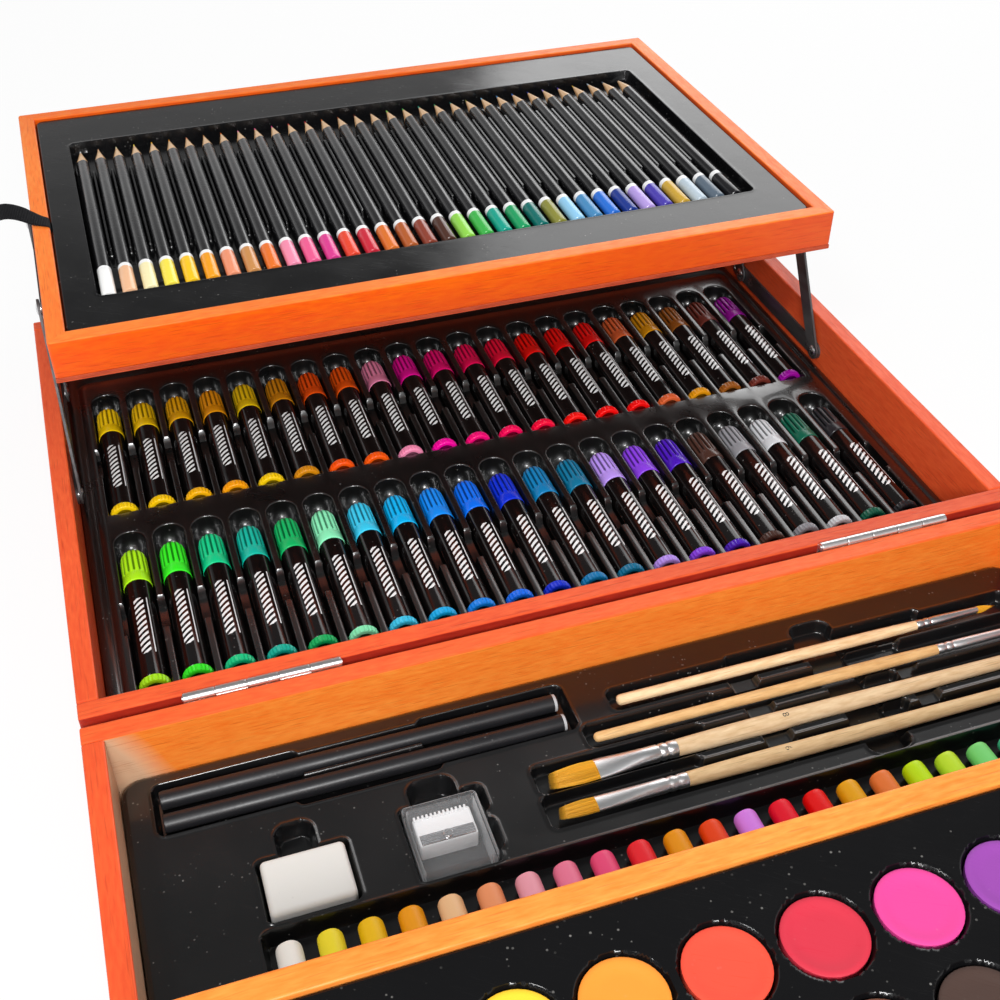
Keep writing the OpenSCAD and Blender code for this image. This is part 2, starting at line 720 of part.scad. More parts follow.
// One three-sided strand of radius w, from inside the backing to its tip.
// Its place is scaled by tip at the full length, and in proportion before that.
module strand(at, tip, reach, w, full = 0) {
    share = full > 0 ? reach / full : 1;
    out = at * (1 - (1 - tip) * share);
    root = [for (k = [0:2]) [at[0] + w * cos(120 * k), at[1] + w * sin(120 * k), 0.3]];
    end = [for (k = [0:2]) [out[0] + w * 0.4 * cos(120 * k), out[1] + w * 0.4 * sin(120 * k), reach]];
    polyhedron(concat(root, end),
               [[0, 1, 2], [5, 4, 3], [0, 3, 4], [0, 4, 1], [1, 4, 5], [1, 5, 2], [2, 5, 3],
                [2, 3, 0]]);
}

module each_pastel() {
    for (y = pastel_y0, i = [0:pastels_per_row - 1])
        translate([pastel_x0 + i * pastel_pitch, y, pastel_z]) children();
}

// Bare end of the stick, which stands out of the paper
module pastel_sticks() color("#e2574c") each_pastel() {
    round_y(0, pastel_len - pastel_bare, pastel_len - 0.6, 0, pastel_r - 0.25);
    round_y(0, pastel_len - 0.6, pastel_len, 0, pastel_r - 0.25, pastel_r - 0.85);
}

module pastel_papers() color(black_plastic) each_pastel()
    round_y(0, 0, pastel_len - pastel_bare, 0, pastel_r);

// ---- lid tray: paints and crayons ----

module each_cake() {
    for (y = cake_y, i = [0:cakes_per_row - 1])
        translate([(i - (cakes_per_row - 1) / 2) * cake_pitch, y, pencil_insert_top]) children();
}

module each_crayon() {
    for (i = [0:crayon_count - 1])
        translate([(i - (crayon_count - 1) / 2) * crayon_pitch, crayon_y0,
                   crayon_z]) children();
}

module paint_insert() color(black_plastic) {
    x = tray_w / 2 - tray_wall_t - insert_gap;
    lo = [-x, lid_mid_y - tray_y0 - tray_d + tray_wall_t + insert_gap];
    hi = [x, lid_mid_y - tray_y0 - tray_wall_t - insert_gap];
    crayon_lo = [-184, crayon_y0 - 8];
    crayon_hi = [184, crayon_y0 + crayon_len + 8];
    crayon_floor = crayon_z - crayon_r - rest_gap;
    difference() {
        union() {
            formed_sheet(lo, hi, tray_bottom + tray_board_t, pencil_insert_top);
            each_cake() translate([0, 0, -cake_h - sheet_t - 0.1])
                cylinder(h = cake_h + sheet_t + 0.1, r = cake_r + 0.3 + sheet_t);
            round_block(crayon_lo - [sheet_t, sheet_t], crayon_hi + [sheet_t, sheet_t],
                        crayon_floor - sheet_t, pencil_insert_top, 3 + sheet_t);
        }
        each_cake() translate([0, 0, -cake_h - 0.1]) cylinder(h = cake_h + 1, r = cake_r + 0.3);
        round_block(crayon_lo, crayon_hi, crayon_floor, pencil_insert_top + 1, 3);
    }
}

module paint_cakes() color("#3f77c9") each_cake()
    translate([0, 0, -cake_h - 0.1]) cylinder(h = cake_h - 0.5, r = cake_r);

module wax_crayons() color("#3aa655") each_crayon() {
    round_y(0, 0, crayon_len - 9, 0, crayon_r);
    round_y(0, crayon_len - 9, crayon_len, 0, crayon_r - 0.6, 1.6);
}

// ---- handle and latches ----

// Bail handle: grip, two bends, two arms, and a pin at the end of each arm
module carry_handle() color("#202022")
    translate([0, handle_y, handle_z]) rotate([-handle_drop, 0, 0]) {
        bend = 8;
        arm_x = handle_w / 2;
        round_x(-arm_x + bend, arm_x - bend, handle_reach, 0, handle_r);
        both_sides() {
            translate([arm_x - bend, handle_reach - bend, 0]) rotate_extrude(angle = 90)
                translate([bend, 0]) circle(handle_r - 1.2);
            round_y(arm_x, 0, handle_reach - bend, 0, handle_r - 1.2);
            translate([arm_x, 0, 0]) sphere(handle_r - 1.2);
            round_x(arm_x - 12, arm_x, 0, 0, handle_pin_r);
        }
    }

// Plate on the wall with an eye for the handle's pin
module handle_brackets() color(steel) both_sides() {
    eye_x = handle_w / 2 - 9.5;
    difference() {
        union() {
            box([eye_x - 9, half_d / 2, handle_z - 9], [eye_x + 4, half_d / 2 + 1.5, handle_z + 9]);
            round_x(eye_x - 2.5, eye_x + 2.5, handle_y, handle_z, 4);
            box([eye_x - 2.5, half_d / 2, handle_z - 4], [eye_x + 2.5, handle_y, handle_z + 4]);
        }
        round_x(eye_x - 12, eye_x + 12, handle_y, handle_z, handle_pin_r + turn_play);
    }
}

// Hook on the base that the latch lever closes over
module latch_catches() color(steel) both_sides() {
    y = half_d / 2;
    box([latch_x - 9, y, half_h - 16], [latch_x + 9, y + 1, half_h - 1]);
    box([latch_x - 4, y + 1, half_h - 6], [latch_x + 4, y + 3, half_h - 4.4]);
    box([latch_x - 4, y + 3, half_h - 9], [latch_x + 4, y + 4, half_h - 4.4]);
}

// Plate on the lid with two eyes for the lever
module latch_plates() color(steel) both_sides() difference() {
    union() {
        box([latch_x - 12, latch_wall_y - 1, latch_z - 10], [latch_x + 12, latch_wall_y, latch_z + 10]);
        for (x = [latch_x - 11, latch_x + 8]) {
            round_x(x, x + 3, latch_y, latch_z, 2);
            box([x, latch_y, latch_z - 2], [x + 3, latch_wall_y, latch_z + 2]);
        }
    }
    round_x(latch_x - 13, latch_x + 13, latch_y, latch_z, 1 + turn_play);
}

// Lever that hangs from the plate: barrel, pin and a strap with a slot for the hook
module latch_lever() color(steel) difference() {
    union() {
        round_x(latch_x - 11, latch_x + 11, latch_y, latch_z, 1);
        round_x(latch_x - 7.7, latch_x + 7.7, latch_y, latch_z, 1.8);
        box([latch_x - 7.7, latch_y - 1.8, latch_z - latch_len],
            [latch_x + 7.7, latch_y - 0.6, latch_z]);
    }
    box([latch_x - 4.6, latch_y - 4, latch_z + latch_slot[0]],
        [latch_x + 4.6, latch_y + 1, latch_z + latch_slot[1]]);
}

module left_latch_lever() mirror([1, 0, 0]) latch_lever();
module right_latch_lever() latch_lever();

base_hinge_wall();
base_handle_wall();
base_left_wall();
base_right_wall();
base_board();
marker_insert();
marker_barrels();
marker_caps();
marker_end_plugs();
base_rails();
base_rivets();
base_wood_screws();
base_hinge_leaves();
hinge_pins();
handle_brackets();
latch_catches();
pencil_front_links();
pencil_rear_links();
pencil_tray_front_wall();
pencil_tray_rear_wall();
pencil_tray_side_walls();
pencil_tray_board();
pencil_insert();
pencils();
pencil_tray_rails();
pencil_tray_fixings();
pull_ribbon();
lid_hinge_wall();
lid_latch_wall();
lid_left_wall();
lid_right_wall();
lid_board();
tool_insert();
sketch_sticks();
sharpener_case();
sharpener();
eraser();
brush_handles();
brush_ferrules();
brush_tufts();
pastel_sticks();
pastel_papers();
lid_rails();
lid_rivets();
lid_wood_screws();
lid_hinge_leaves();
latch_plates();
lid_front_links();
lid_rear_links();
lid_tray_long_walls();
lid_tray_side_walls();
lid_tray_board();
paint_insert();
paint_cakes();
wax_crayons();
lid_tray_rails();
lid_tray_fixings();
carry_handle();
left_latch_lever();
right_latch_lever();
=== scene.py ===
"""Wooden artist's case, open flat, with a raised tray of pencils and a second tray in the lid."""
import math

import bmesh
import bpy
import numpy as np
from mathutils import Matrix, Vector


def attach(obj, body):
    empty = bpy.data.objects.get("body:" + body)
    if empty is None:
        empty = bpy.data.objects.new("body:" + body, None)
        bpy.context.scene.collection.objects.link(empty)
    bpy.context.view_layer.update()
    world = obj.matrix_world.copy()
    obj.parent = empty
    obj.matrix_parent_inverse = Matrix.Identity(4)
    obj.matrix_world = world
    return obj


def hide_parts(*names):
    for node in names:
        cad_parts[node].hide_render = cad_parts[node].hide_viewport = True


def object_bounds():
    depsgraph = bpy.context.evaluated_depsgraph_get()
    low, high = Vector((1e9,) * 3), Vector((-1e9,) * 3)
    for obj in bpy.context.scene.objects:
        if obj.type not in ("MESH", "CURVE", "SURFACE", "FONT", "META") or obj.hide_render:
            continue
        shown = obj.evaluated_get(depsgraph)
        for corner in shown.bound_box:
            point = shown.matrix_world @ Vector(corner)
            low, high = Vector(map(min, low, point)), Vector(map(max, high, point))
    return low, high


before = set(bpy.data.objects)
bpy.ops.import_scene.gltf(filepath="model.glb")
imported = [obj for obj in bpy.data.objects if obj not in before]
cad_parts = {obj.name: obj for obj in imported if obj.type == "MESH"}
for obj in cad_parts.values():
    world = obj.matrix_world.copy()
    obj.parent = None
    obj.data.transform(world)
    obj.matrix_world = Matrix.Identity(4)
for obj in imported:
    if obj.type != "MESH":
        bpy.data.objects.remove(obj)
cad_low, cad_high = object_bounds()
scene = bpy.context.scene
scene.view_settings.view_transform = "Standard"


# ---- Table and studio ----
# The case stands on a white table between white walls, under a dim ceiling. The main soft lamp
# stands before it, one hangs over its left front corner, and a wide one behind its right side
# gives black its sheen.

def fill(tree, socket, value):
    """Joins a socket to an input, or sets anything else as the input's own value."""
    if isinstance(value, bpy.types.NodeSocket):
        tree.links.new(value, socket)
    else:
        socket.default_value = value


def add(tree, kind, *places, **words):
    """Adds a shader node and returns its first output. Values in order fill the inputs in order,
    a word with a capital fills the input of that name, and any other word is a setting."""
    made = tree.nodes.new("ShaderNode" + kind)
    for word, value in words.items():
        if word[0].islower():
            setattr(made, word, value)
    for socket, value in zip(made.inputs, places):
        fill(tree, socket, value)
    for word, value in words.items():
        if word[0].isupper():
            fill(tree, made.inputs[word.replace("_", " ")], value)
    return made.outputs[0] if made.outputs else None


def calc(tree, operation, *values):
    """A sum on sockets or numbers: the output of a math node of that operation."""
    return add(tree, "Math", *values, operation=operation)


def parts_of(tree, vector):
    """The X, Y and Z of a vector socket, by name."""
    return add(tree, "SeparateXYZ", vector).node.outputs


def blend(tree, share, first, second, **words):
    """The first colour, mixed with the second by the share. Each is a socket, or red, green and
    blue."""
    first, second = (c if isinstance(c, bpy.types.NodeSocket) else (*c, 1) for c in (first, second))
    return add(tree, "MixRGB", share, first, second, **words)


def seen_share(tree):
    """1 where the camera, a gloss or a clear piece looks, and 0 for plain light."""
    path = add(tree, "LightPath").node.outputs
    either = calc(tree, "MAXIMUM", path["Is Camera Ray"], path["Is Glossy Ray"])
    return calc(tree, "MAXIMUM", either, path["Is Transmission Ray"])


room_light = 0.52
room = bpy.data.worlds.new("studio")
room.use_nodes = True
room.node_tree.nodes.clear()
sky = room.node_tree
toward = parts_of(sky, add(sky, "TexCoord").node.outputs["Generated"])
walls_seen = add(sky, "MapRange", toward["Z"], 0.2, 0.5, 1.0, 0.2)
gloss_more = calc(sky, "SUBTRACT", walls_seen, room_light)
strength = calc(sky, "MULTIPLY_ADD", seen_share(sky), gloss_more, room_light)
add(sky, "OutputWorld", add(sky, "Background", (1, 1, 1, 1), strength))
scene.world = room


def lamp(name, place, aim, size, power):
    """Square soft lamp at a place, turned to face the aim, both in metres."""
    light = bpy.data.lights.new(name, "AREA")
    light.size = size
    light.energy = power
    holder = bpy.data.objects.new(name, light)
    scene.collection.objects.link(holder)
    back = np.subtract(place, aim) / np.linalg.norm(np.subtract(place, aim))
    side = np.cross([0, 0, 1], back) / np.linalg.norm(np.cross([0, 0, 1], back))
    axes = np.stack([side, np.cross(back, side), back, place], 1)
    holder.matrix_world = Matrix([*axes.tolist(), [0, 0, 0, 1]])


lamp("front_lamp", (-0.2, -1.15, 0.85), (0, 0, 0.05), 0.3, 13)
lamp("front_left_lamp", (-0.75, -0.75, 1.25), (0, -0.1, 0.05), 0.26, 6.5)
lamp("rear_right_lamp", (0.95, 1.3, 0.9), (0, -0.1, 0.05), 1.1, 11)

floor_half, floor_z = 6, cad_low.z - 0.0002
floor_mesh = bpy.data.meshes.new("table_top")
floor_mesh.from_pydata([(floor_half * x, floor_half * y, floor_z)
                        for x, y in ((-1, -1), (1, -1), (1, 1), (-1, 1))], [], [(0, 1, 2, 3)])
floor = bpy.data.objects.new("table_top", floor_mesh)
scene.collection.objects.link(floor)
paper = bpy.data.materials.new("white_table")
paper.use_nodes = True
paper.node_tree.nodes.clear()
paper_tree = paper.node_tree
lit = add(paper_tree, "BsdfDiffuse", (0.86, 0.86, 0.86, 1))
glowing = add(paper_tree, "Emission", (1, 1, 1, 1), 1.0)
mostly_seen = calc(paper_tree, "MULTIPLY", seen_share(paper_tree), 0.88)
add(paper_tree, "OutputMaterial", add(paper_tree, "MixShader", mostly_seen, lit, glowing))
floor_mesh.materials.append(paper)

# The camera looks down over the lid into both halves, from its left-hand side.
eye = (-0.1704, -0.5419, 0.4490)
right = (0.9485, -0.3166, -0.0003)
up = (0.2024, 0.6056, 0.7696)
back = (-0.2435, -0.7301, 0.6385)
camera = bpy.data.objects.new("camera", bpy.data.cameras.new("camera"))
camera.data.lens = 47.31
camera.data.sensor_width = 36
camera.data.clip_start = 0.01
camera.matrix_world = Matrix([*np.stack([right, up, back, eye], 1).tolist(), [0, 0, 0, 1]])
scene.collection.objects.link(camera)
scene.camera = camera


# ---- Walls of the base half ----
# Four solid beech boards, glued and pinned with plain butt joints, stained orange-red and wiped
# with a thin satin varnish. The long boards cover the ends of the short ones.

def surface(name, grids, around=False, shades=None, closed=True, *, crease):
    """One mesh, in metres, from grids of points in millimetres, shaped (grids, rows, columns, 3).
    Four neighbouring points make a face, and where around is true the last column joins the
    first. Points that fall together are merged, so a row of equal points closes a pole. The map
    runs from 0 to 1 across the columns and down the rows, and shades, shaped (grids, rows - 1, 3),
    colour the faces between two rows. Faces that meet at more than the crease, in degrees, keep
    a sharp edge. A closed piece has its faces turned outwards."""
    grids = np.asarray(grids, float)
    count, rows, columns, _ = grids.shape
    number = np.arange(count * rows * columns).reshape(count, rows, columns)
    near = number if around else number[:, :, :-1]
    far = np.roll(number, -1, 2) if around else number[:, :, 1:]
    faces = np.stack([near[:, :-1], far[:, :-1], far[:, 1:], near[:, 1:]], -1)
    mesh = bpy.data.meshes.new(name)
    mesh.from_pydata((grids.reshape(-1, 3) / 1000).tolist(), [], faces.reshape(-1, 4).tolist())
    down, over = np.meshgrid(np.arange(rows - 1), np.arange(near.shape[2]), indexing="ij")
    corners = np.stack([np.stack([over, over + 1, over + 1, over], -1) / near.shape[2],
                        np.stack([down, down, down + 1, down + 1], -1) / (rows - 1)], -1)
    flat = mesh.uv_layers.new(name="Map")
    flat.data.foreach_set("uv", np.broadcast_to(corners, faces.shape + (2,)).astype("f").ravel())
    if shades is not None:
        colours = np.ones(faces.shape + (4,), "f")
        colours[..., :3] = np.asarray(shades)[:, :, None, None, :]
        tint = mesh.color_attributes.new("Tint", "FLOAT_COLOR", "CORNER")
        tint.data.foreach_set("color", colours.ravel())
    shell = bmesh.new()
    shell.from_mesh(mesh)
    bmesh.ops.remove_doubles(shell, verts=shell.verts, dist=1e-6)
    if closed:
        bmesh.ops.recalc_face_normals(shell, faces=shell.faces)
    shell.to_mesh(mesh)
    shell.free()
    mesh.shade_smooth()
    mesh.set_sharp_from_angle(angle=math.radians(crease))
    thing = bpy.data.objects.new(name, mesh)
    scene.collection.objects.link(thing)
    return thing


def fit(thing, material, body, *nodes, slot):
    """Gives a piece its finish and its body, and hides the solids that it stands for. Its slot is
    not used.
    """
    thing.data.materials.append(material)
    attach(thing, body)
    if nodes:
        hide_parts(*nodes)


def plank(low, high, ease=0.8, turn=3):
    """Board with eased edges. Each point is a corner of the board, moved in by the easing radius
    along all three axes, plus that radius times a direction on a ball. An eighth of the ball
    belongs to each corner, the two poles are drawn in to close the top and the underside, and the
    first column is repeated to close the board round its sides."""
    low, high = np.array(low, float), np.array(high, float)
    quarter = np.linspace(0, math.pi / 2, turn)
    down = np.concatenate([quarter, quarter + math.pi / 2])[:, None]
    about = np.concatenate([quarter + k * math.pi / 2 for k in range(4)])[None]
    ball = np.stack(np.broadcast_arrays(np.sin(down) * np.cos(about),
                                        np.sin(down) * np.sin(about), np.cos(down)), -1)
    sides = np.stack(np.broadcast_arrays(np.repeat([1, -1, -1, 1], turn)[None],
                                         np.repeat([1, 1, -1, -1], turn)[None],
                                         np.repeat([1, -1], turn)[:, None]), -1)
    middle = (low + high) / 2
    body = middle + sides * ((high - low) / 2 - ease) + ease * ball
    poles = np.broadcast_to(middle, (2,) + body.shape[1:]).copy()
    poles[:, :, 2] = [[high[2]], [low[2]]]
    whole = np.concatenate([poles[:1], body, poles[1:]])
    return np.concatenate([whole, whole[:, :1]], 1)[None]


def effect(name, takes, gives):
    """Node group with named inputs and outputs, each given with its kind of socket. Returns its
    tree, the inputs as they are read inside it, and the outputs to fill."""
    tree = bpy.data.node_groups.new(name, "ShaderNodeTree")
    for word, kind in takes.items():
        tree.interface.new_socket(word, in_out="INPUT", socket_type="NodeSocket" + kind)
    for word, kind in gives.items():
        tree.interface.new_socket(word, in_out="OUTPUT", socket_type="NodeSocket" + kind)
    return tree, tree.nodes.new("NodeGroupInput").outputs, tree.nodes.new("NodeGroupOutput").inputs


def place(tree, group, **words):
    """Places a node group, fills its inputs by name and returns its outputs."""
    made = tree.nodes.new("ShaderNodeGroup")
    made.node_tree = group
    for word, value in words.items():
        fill(tree, made.inputs[word], value)
    return made.outputs


def finish(name):
    """New material: the material, its tree, and its place on the piece in metres."""
    material = bpy.data.materials.new(name)
    material.use_nodes = True
    tree = material.node_tree
    return material, tree, add(tree, "TexCoord").node.outputs["Object"]


def dress(tree, **words):
    """Fills the sockets of a material's shader by name."""
    for word, value in words.items():
        fill(tree, tree.nodes["Principled BSDF"].inputs[word.replace("_", " ")], value)


def normal_of(tree):
    """The X, Y and Z of the piece's own normal, by name."""
    return parts_of(tree, add(tree, "TexCoord").node.outputs["Normal"])


def map_of(tree):
    """The place on a piece's map, by name: X runs across the columns and Y down the rows."""
    return parts_of(tree, add(tree, "UVMap", uv_map="Map"))


def bumps(tree, height, strength, deep):
    """The normal of a surface with bumps of that height, in metres where it is 1."""
    return add(tree, "Bump", Height=height, Strength=strength, Distance=deep)


def noise(tree, where, scale, detail=2.0):
    """Smooth noise from 0 to 1, with its own scale along each axis, in waves per metre."""
    return add(tree, "TexNoise", add(tree, "VectorMath", where, scale, operation="MULTIPLY"),
               Scale=1.0, Detail=detail)


def spread(tree, value, low, high, first=0.0, last=1.0):
    """The value's share of the way from low to high, drawn out from first to last."""
    return add(tree, "MapRange", value, low, high, first, last)


grain, grain_in, grain_out = effect("wood_grain", {"Place": "Vector"},
                                    {"Streak": "Float", "Blotch": "Float", "Pore": "Float"})
wide = noise(grain, grain_in["Place"], (7, 70, 70), 4.0)
thin = noise(grain, grain_in["Place"], (130, 620, 620), 3.0)
both = calc(grain, "MULTIPLY_ADD", wide, 0.4, calc(grain, "MULTIPLY", thin, 0.6))
cloud = noise(grain, grain_in["Place"], (6, 13, 13))
pores = noise(grain, grain_in["Place"], (70, 1700, 1700), 1.0)
fill(grain, grain_out["Streak"], spread(grain, both, 0.3, 0.68))
fill(grain, grain_out["Blotch"], spread(grain, cloud, 0.3, 0.7))
fill(grain, grain_out["Pore"], spread(grain, pores, 0.6, 0.74))


stain_edge = 0.0441


def stained(name, along, deep, full, rim=None, bare=None, redder=False, front_only=False):
    """Stained beech with its grain along X, 0, or Y, 1. The stain is deep in the streaks and full
    between them, blotches shift it and pores are darker. Where given, rim holds the height in
    metres above which the two tones that follow it are used instead. Where front_only is true,
    every face but the one towards -Y has those two tones as well. Bare holds the X and the Y,
    left of and in front of which the stain has missed the wood below the stain's edge, though
    never on an outer left face. A redder strip takes more red towards its right end and foot."""
    material, tree, where = finish(name)
    turned_place = add(tree, "Mapping", where, Rotation=(0, 0, -along * math.pi / 2))
    marks = place(tree, grain, Place=turned_place)
    spot = parts_of(tree, where)
    colour = blend(tree, marks["Streak"], deep, full)
    if redder:
        foot = spread(tree, spot["Z"], 0.094, 0.112, 0.42, 0.0)
        end = calc(tree, "MAXIMUM", spread(tree, spot["X"], 0.0, 0.2, 0.0, 0.6), foot)
        colour = blend(tree, end, colour, (0.55, 0.055, 0.018))
    if rim is not None:
        above = spread(tree, spot["Z"], rim[0], rim[0] + 0.0005)
        if front_only:
            elsewhere = spread(tree, normal_of(tree)["Y"], -0.7, -0.5)
            above = calc(tree, "MAXIMUM", elsewhere, above)
        colour = blend(tree, above, colour, blend(tree, marks["Streak"], *rim[1:]))
    patch = spread(tree, marks["Blotch"], 0, 1, 0.0, 0.4)
    colour = blend(tree, patch, colour, 0.82 * np.array(deep))
    if bare is not None:
        ragged = calc(tree, "MULTIPLY_ADD", marks["Blotch"], 0.006, spot["X"])
        ragged = calc(tree, "MULTIPLY_ADD", spot["Z"], 0.45, ragged)
        share = spread(tree, ragged, bare[0] - 0.006, bare[0] + 0.007, 1.0, 0.0)
        below = spread(tree, spot["Z"], stain_edge - 0.0003, stain_edge + 0.0003, 0.92, 0.0)
        ahead = spread(tree, spot["Y"], bare[1], bare[1] + 0.0005, 1.0, 0.0)
        inward = spread(tree, normal_of(tree)["X"], -0.7, -0.5)
        for limit in (below, ahead, inward):
            share = calc(tree, "MULTIPLY", share, limit)
        colour = blend(tree, share, colour, (0.70, 0.47, 0.30))
    pore = spread(tree, marks["Pore"], 0, 1, 0.0, 0.35)
    colour = blend(tree, pore, colour, 0.45 * np.array(deep))
    height = calc(tree, "SUBTRACT", marks["Streak"], marks["Pore"])
    dress(tree, Base_Color=colour, Specular_IOR_Level=0.25,
          Roughness=spread(tree, marks["Streak"], 0, 1, 0.5, 0.36),
          Normal=bumps(tree, height, 0.25, 0.0002))
    return material


red_deep, red_full = (0.74, 0.072, 0.018), (0.90, 0.14, 0.036)
red_rim = (stain_edge, red_deep, red_full)
red_long = stained("red_stain_long", 0, red_deep, red_full)
red_short = stained("red_stain_short", 1, red_deep, red_full)
# The face towards -Y, in the gap between the halves, takes dark red tones below the stain's edge:
# painted shadow, not a darker stain.
gap_shadow_red = stained("hinge_side_stain_painted_shadow", 0, (0.30, 0.014, 0.008), (0.46, 0.035, 0.014),
                  rim=red_rim, front_only=True)
case_x, case_y, wall, rim_z = 220.5, 157.0, 9.0, 45.0
in_x, in_y = case_x - wall, case_y - wall
board_z = 3.0
hinge_wall = (-case_x, -case_y, board_z), (case_x, -in_y, rim_z)
far_wall = (-case_x, in_y, board_z), (case_x, case_y, rim_z)
left_wall = (-case_x, -in_y, board_z), (-in_x, in_y, rim_z)
right_wall = (in_x, -in_y, board_z), (case_x, in_y, rim_z)
for title, corners, material, node in (
        ("hinge_side_wall", hinge_wall, gap_shadow_red, "base_hinge_wall"),
        ("handle_side_wall", far_wall, red_long, "base_handle_wall"),
        ("left_end_wall", left_wall, red_short, "base_left_wall"),
        ("right_end_wall", right_wall, red_short, "base_right_wall")):
    fit(surface(title, plank(*corners), crease=10), material, "base", node,
        slot="red_stained_wood")


# ---- Board under the base half ----
# Three-ply board, glued and pinned to the undersides of the walls. Its edges show the plies and
# carry the same stain, and its underside is left brown and dull.

ply, ply_tree, ply_place = finish("stained_ply")
ply_marks = place(ply_tree, grain, Place=ply_place)
ply_wave = 6283  # radians in a metre: one light and one dark ply in each millimetre of height
ply_height = parts_of(ply_tree, ply_place)["Z"]
layer = calc(ply_tree, "SINE", calc(ply_tree, "MULTIPLY", ply_height, ply_wave))
ply_edge = blend(ply_tree, ply_marks["Streak"], (0.42, 0.045, 0.016), (0.62, 0.095, 0.03))
below = spread(ply_tree, normal_of(ply_tree)["Z"], -0.8, -0.6, 1.0, 0.0)
ply_face = blend(ply_tree, below, ply_edge, (0.16, 0.055, 0.032))
dark_ply = spread(ply_tree, layer, 0, 1, 0.0, 0.5)
dress(ply_tree, Roughness=0.62, Specular_IOR_Level=0.3,
      Base_Color=blend(ply_tree, dark_ply, ply_face, (0.16, 0.035, 0.018)),
      Normal=bumps(ply_tree, ply_marks["Pore"], 0.3, 0.0002))


def ply_board(title, low, high, body, node):
    """A sheet of that ply between two corners, its edges barely eased."""
    fit(surface(title, plank(low, high, 0.3, 2), crease=10), ply, body, node, slot="board_wood")


ply_board("base_ply", (-case_x, -case_y, 0), (case_x, case_y, board_z), "base", "base_board")


# ---- Marker insert ----
# One sheet of glossy black plastic, formed over a tool: 42 slots with ball-shaped far ends, a
# finger trough across each row and a groove round the field. It drops in between the walls.

insert_top = 16.0
pitch, first_x, slots = 19.07, -190.2, 21
slot_r, slot_length, slot_z, lip = 7.7, 109.3, 11.55, 0.9
row_starts, row_step = (-120.6, 4.7), 125.3
row_bounds = ((-127.0, -3.3), (-3.3, 121.0))
trough, trough_floor = (36.8, 57.0), 9.55
trough_lines = np.array([34.4, 35.7, 36.5, 37.3, 38.3, 40, 53.8, 55.5, 56.5, 57.3, 58.2, 59.5])


def eased(share):
    """Smooth step from 0 to 1: three times the square less twice the cube of the share."""
    share = np.clip(share, 0, 1)
    return share * share * (3 - 2 * share)


def finger_height(y, start):
    """Height of the finger trough: the sheet's top, and between its edges a smooth step down."""
    inside = np.minimum(y - start - trough[0], trough[1] + start - y)
    return insert_top - (insert_top - trough_floor) * eased((inside + 1.1) / 3.0)


def slot_cell(start, low, high):
    """Grid of one slot and the sheet round it. Each column starts on the cell's outline, and its
    rows are offsets of the slot's outline: over a round lip, down an upright side, and then in
    along a half-round trough, which ends on the slot's own line. The lower of this and the finger
    trough is kept."""
    far = start + slot_length - slot_r
    side = start + np.concatenate([[0, 16], trough_lines, [80, slot_length - slot_r]])
    corner = math.atan2(high - far, pitch / 2)
    arc = np.sort(np.append(np.linspace(0, math.pi, 15)[1:-1], [corner, math.pi - corner]))[::-1]
    edge = np.linspace(1, -1, 7)
    core = np.concatenate([side, np.full(arc.size, far), side[::-1], np.full(edge.size, start)])
    out_x = np.concatenate([-np.ones(side.size), np.cos(arc), np.ones(side.size), edge])
    out_y = np.concatenate([np.zeros(side.size), np.sin(arc), np.zeros(side.size + edge.size)])
    drop = np.concatenate([np.zeros(core.size - edge.size), np.ones(edge.size)])
    reach = np.minimum(pitch / 2 / np.abs(np.cos(arc)), (high - far) / np.sin(arc))
    rim_x = np.concatenate([-np.full(side.size, pitch / 2), reach * np.cos(arc),
                            np.full(side.size, pitch / 2), edge * pitch / 2])
    rim_y = np.concatenate([side, far + reach * np.sin(arc), side[::-1], np.full(edge.size, low)])
    lips = np.radians([0, 30, 60, 90])
    dips = np.radians([14, 28, 42, 56, 70, 82, 90])
    inset = np.concatenate([-lip * (1 - np.sin(lips)), [0], slot_r * (1 - np.cos(dips))])[:, None]
    level = np.concatenate([insert_top - lip * (1 - np.cos(lips)), [slot_z],
                            slot_z - slot_r * np.sin(dips)])[:, None]
    x = np.vstack([rim_x[None], out_x * (slot_r - inset)])
    y = np.vstack([rim_y[None], core + out_y * (slot_r - inset) + drop * np.minimum(inset, 0)])
    z = np.vstack([np.full((1, core.size), insert_top),
                   np.broadcast_to(level, (level.size, core.size))])
    return np.stack([x, y, np.minimum(z, finger_height(y, start))], -1)


slot_steps = np.zeros((slots, 1, 1, 3))
slot_steps[:, 0, 0, 0] = first_x + pitch * np.arange(slots)
cells = np.concatenate([slot_cell(start, *bounds) + slot_steps
                        for start, bounds in zip(row_starts, row_bounds)])


def rounded_loop(low, high, radius, height, turn=6):
    """Points once round a level rectangle with round corners, from its right anticlockwise."""
    low, high = np.array(low, float) + radius, np.array(high, float) - radius
    angle = np.concatenate([np.linspace(0, math.pi / 2, turn) + k * math.pi / 2 for k in range(4)])
    x = np.repeat([high[0], low[0], low[0], high[0]], turn) + radius * np.cos(angle)
    y = np.repeat([high[1], high[1], low[1], low[1]], turn) + radius * np.sin(angle)
    return np.stack([x, y, np.full(x.size, float(height))], -1)


def loops(*steps):
    """Grid of rounded loops, one row each, given as low corner, high corner, radius and height."""
    return np.stack([rounded_loop(*step) for step in steps])[None]


def groove(low, high, radius, top, depth=0.8):
    """Five loops over a shallow groove: half a wave down and up again, 2.4 mm wide."""
    return [(np.array(low) - w, np.array(high) + w, radius + w, top - depth * drop)
            for w, drop in ((0, 0), (0.5, 0.6), (1.2, 1), (1.9, 0.6), (2.4, 0))]


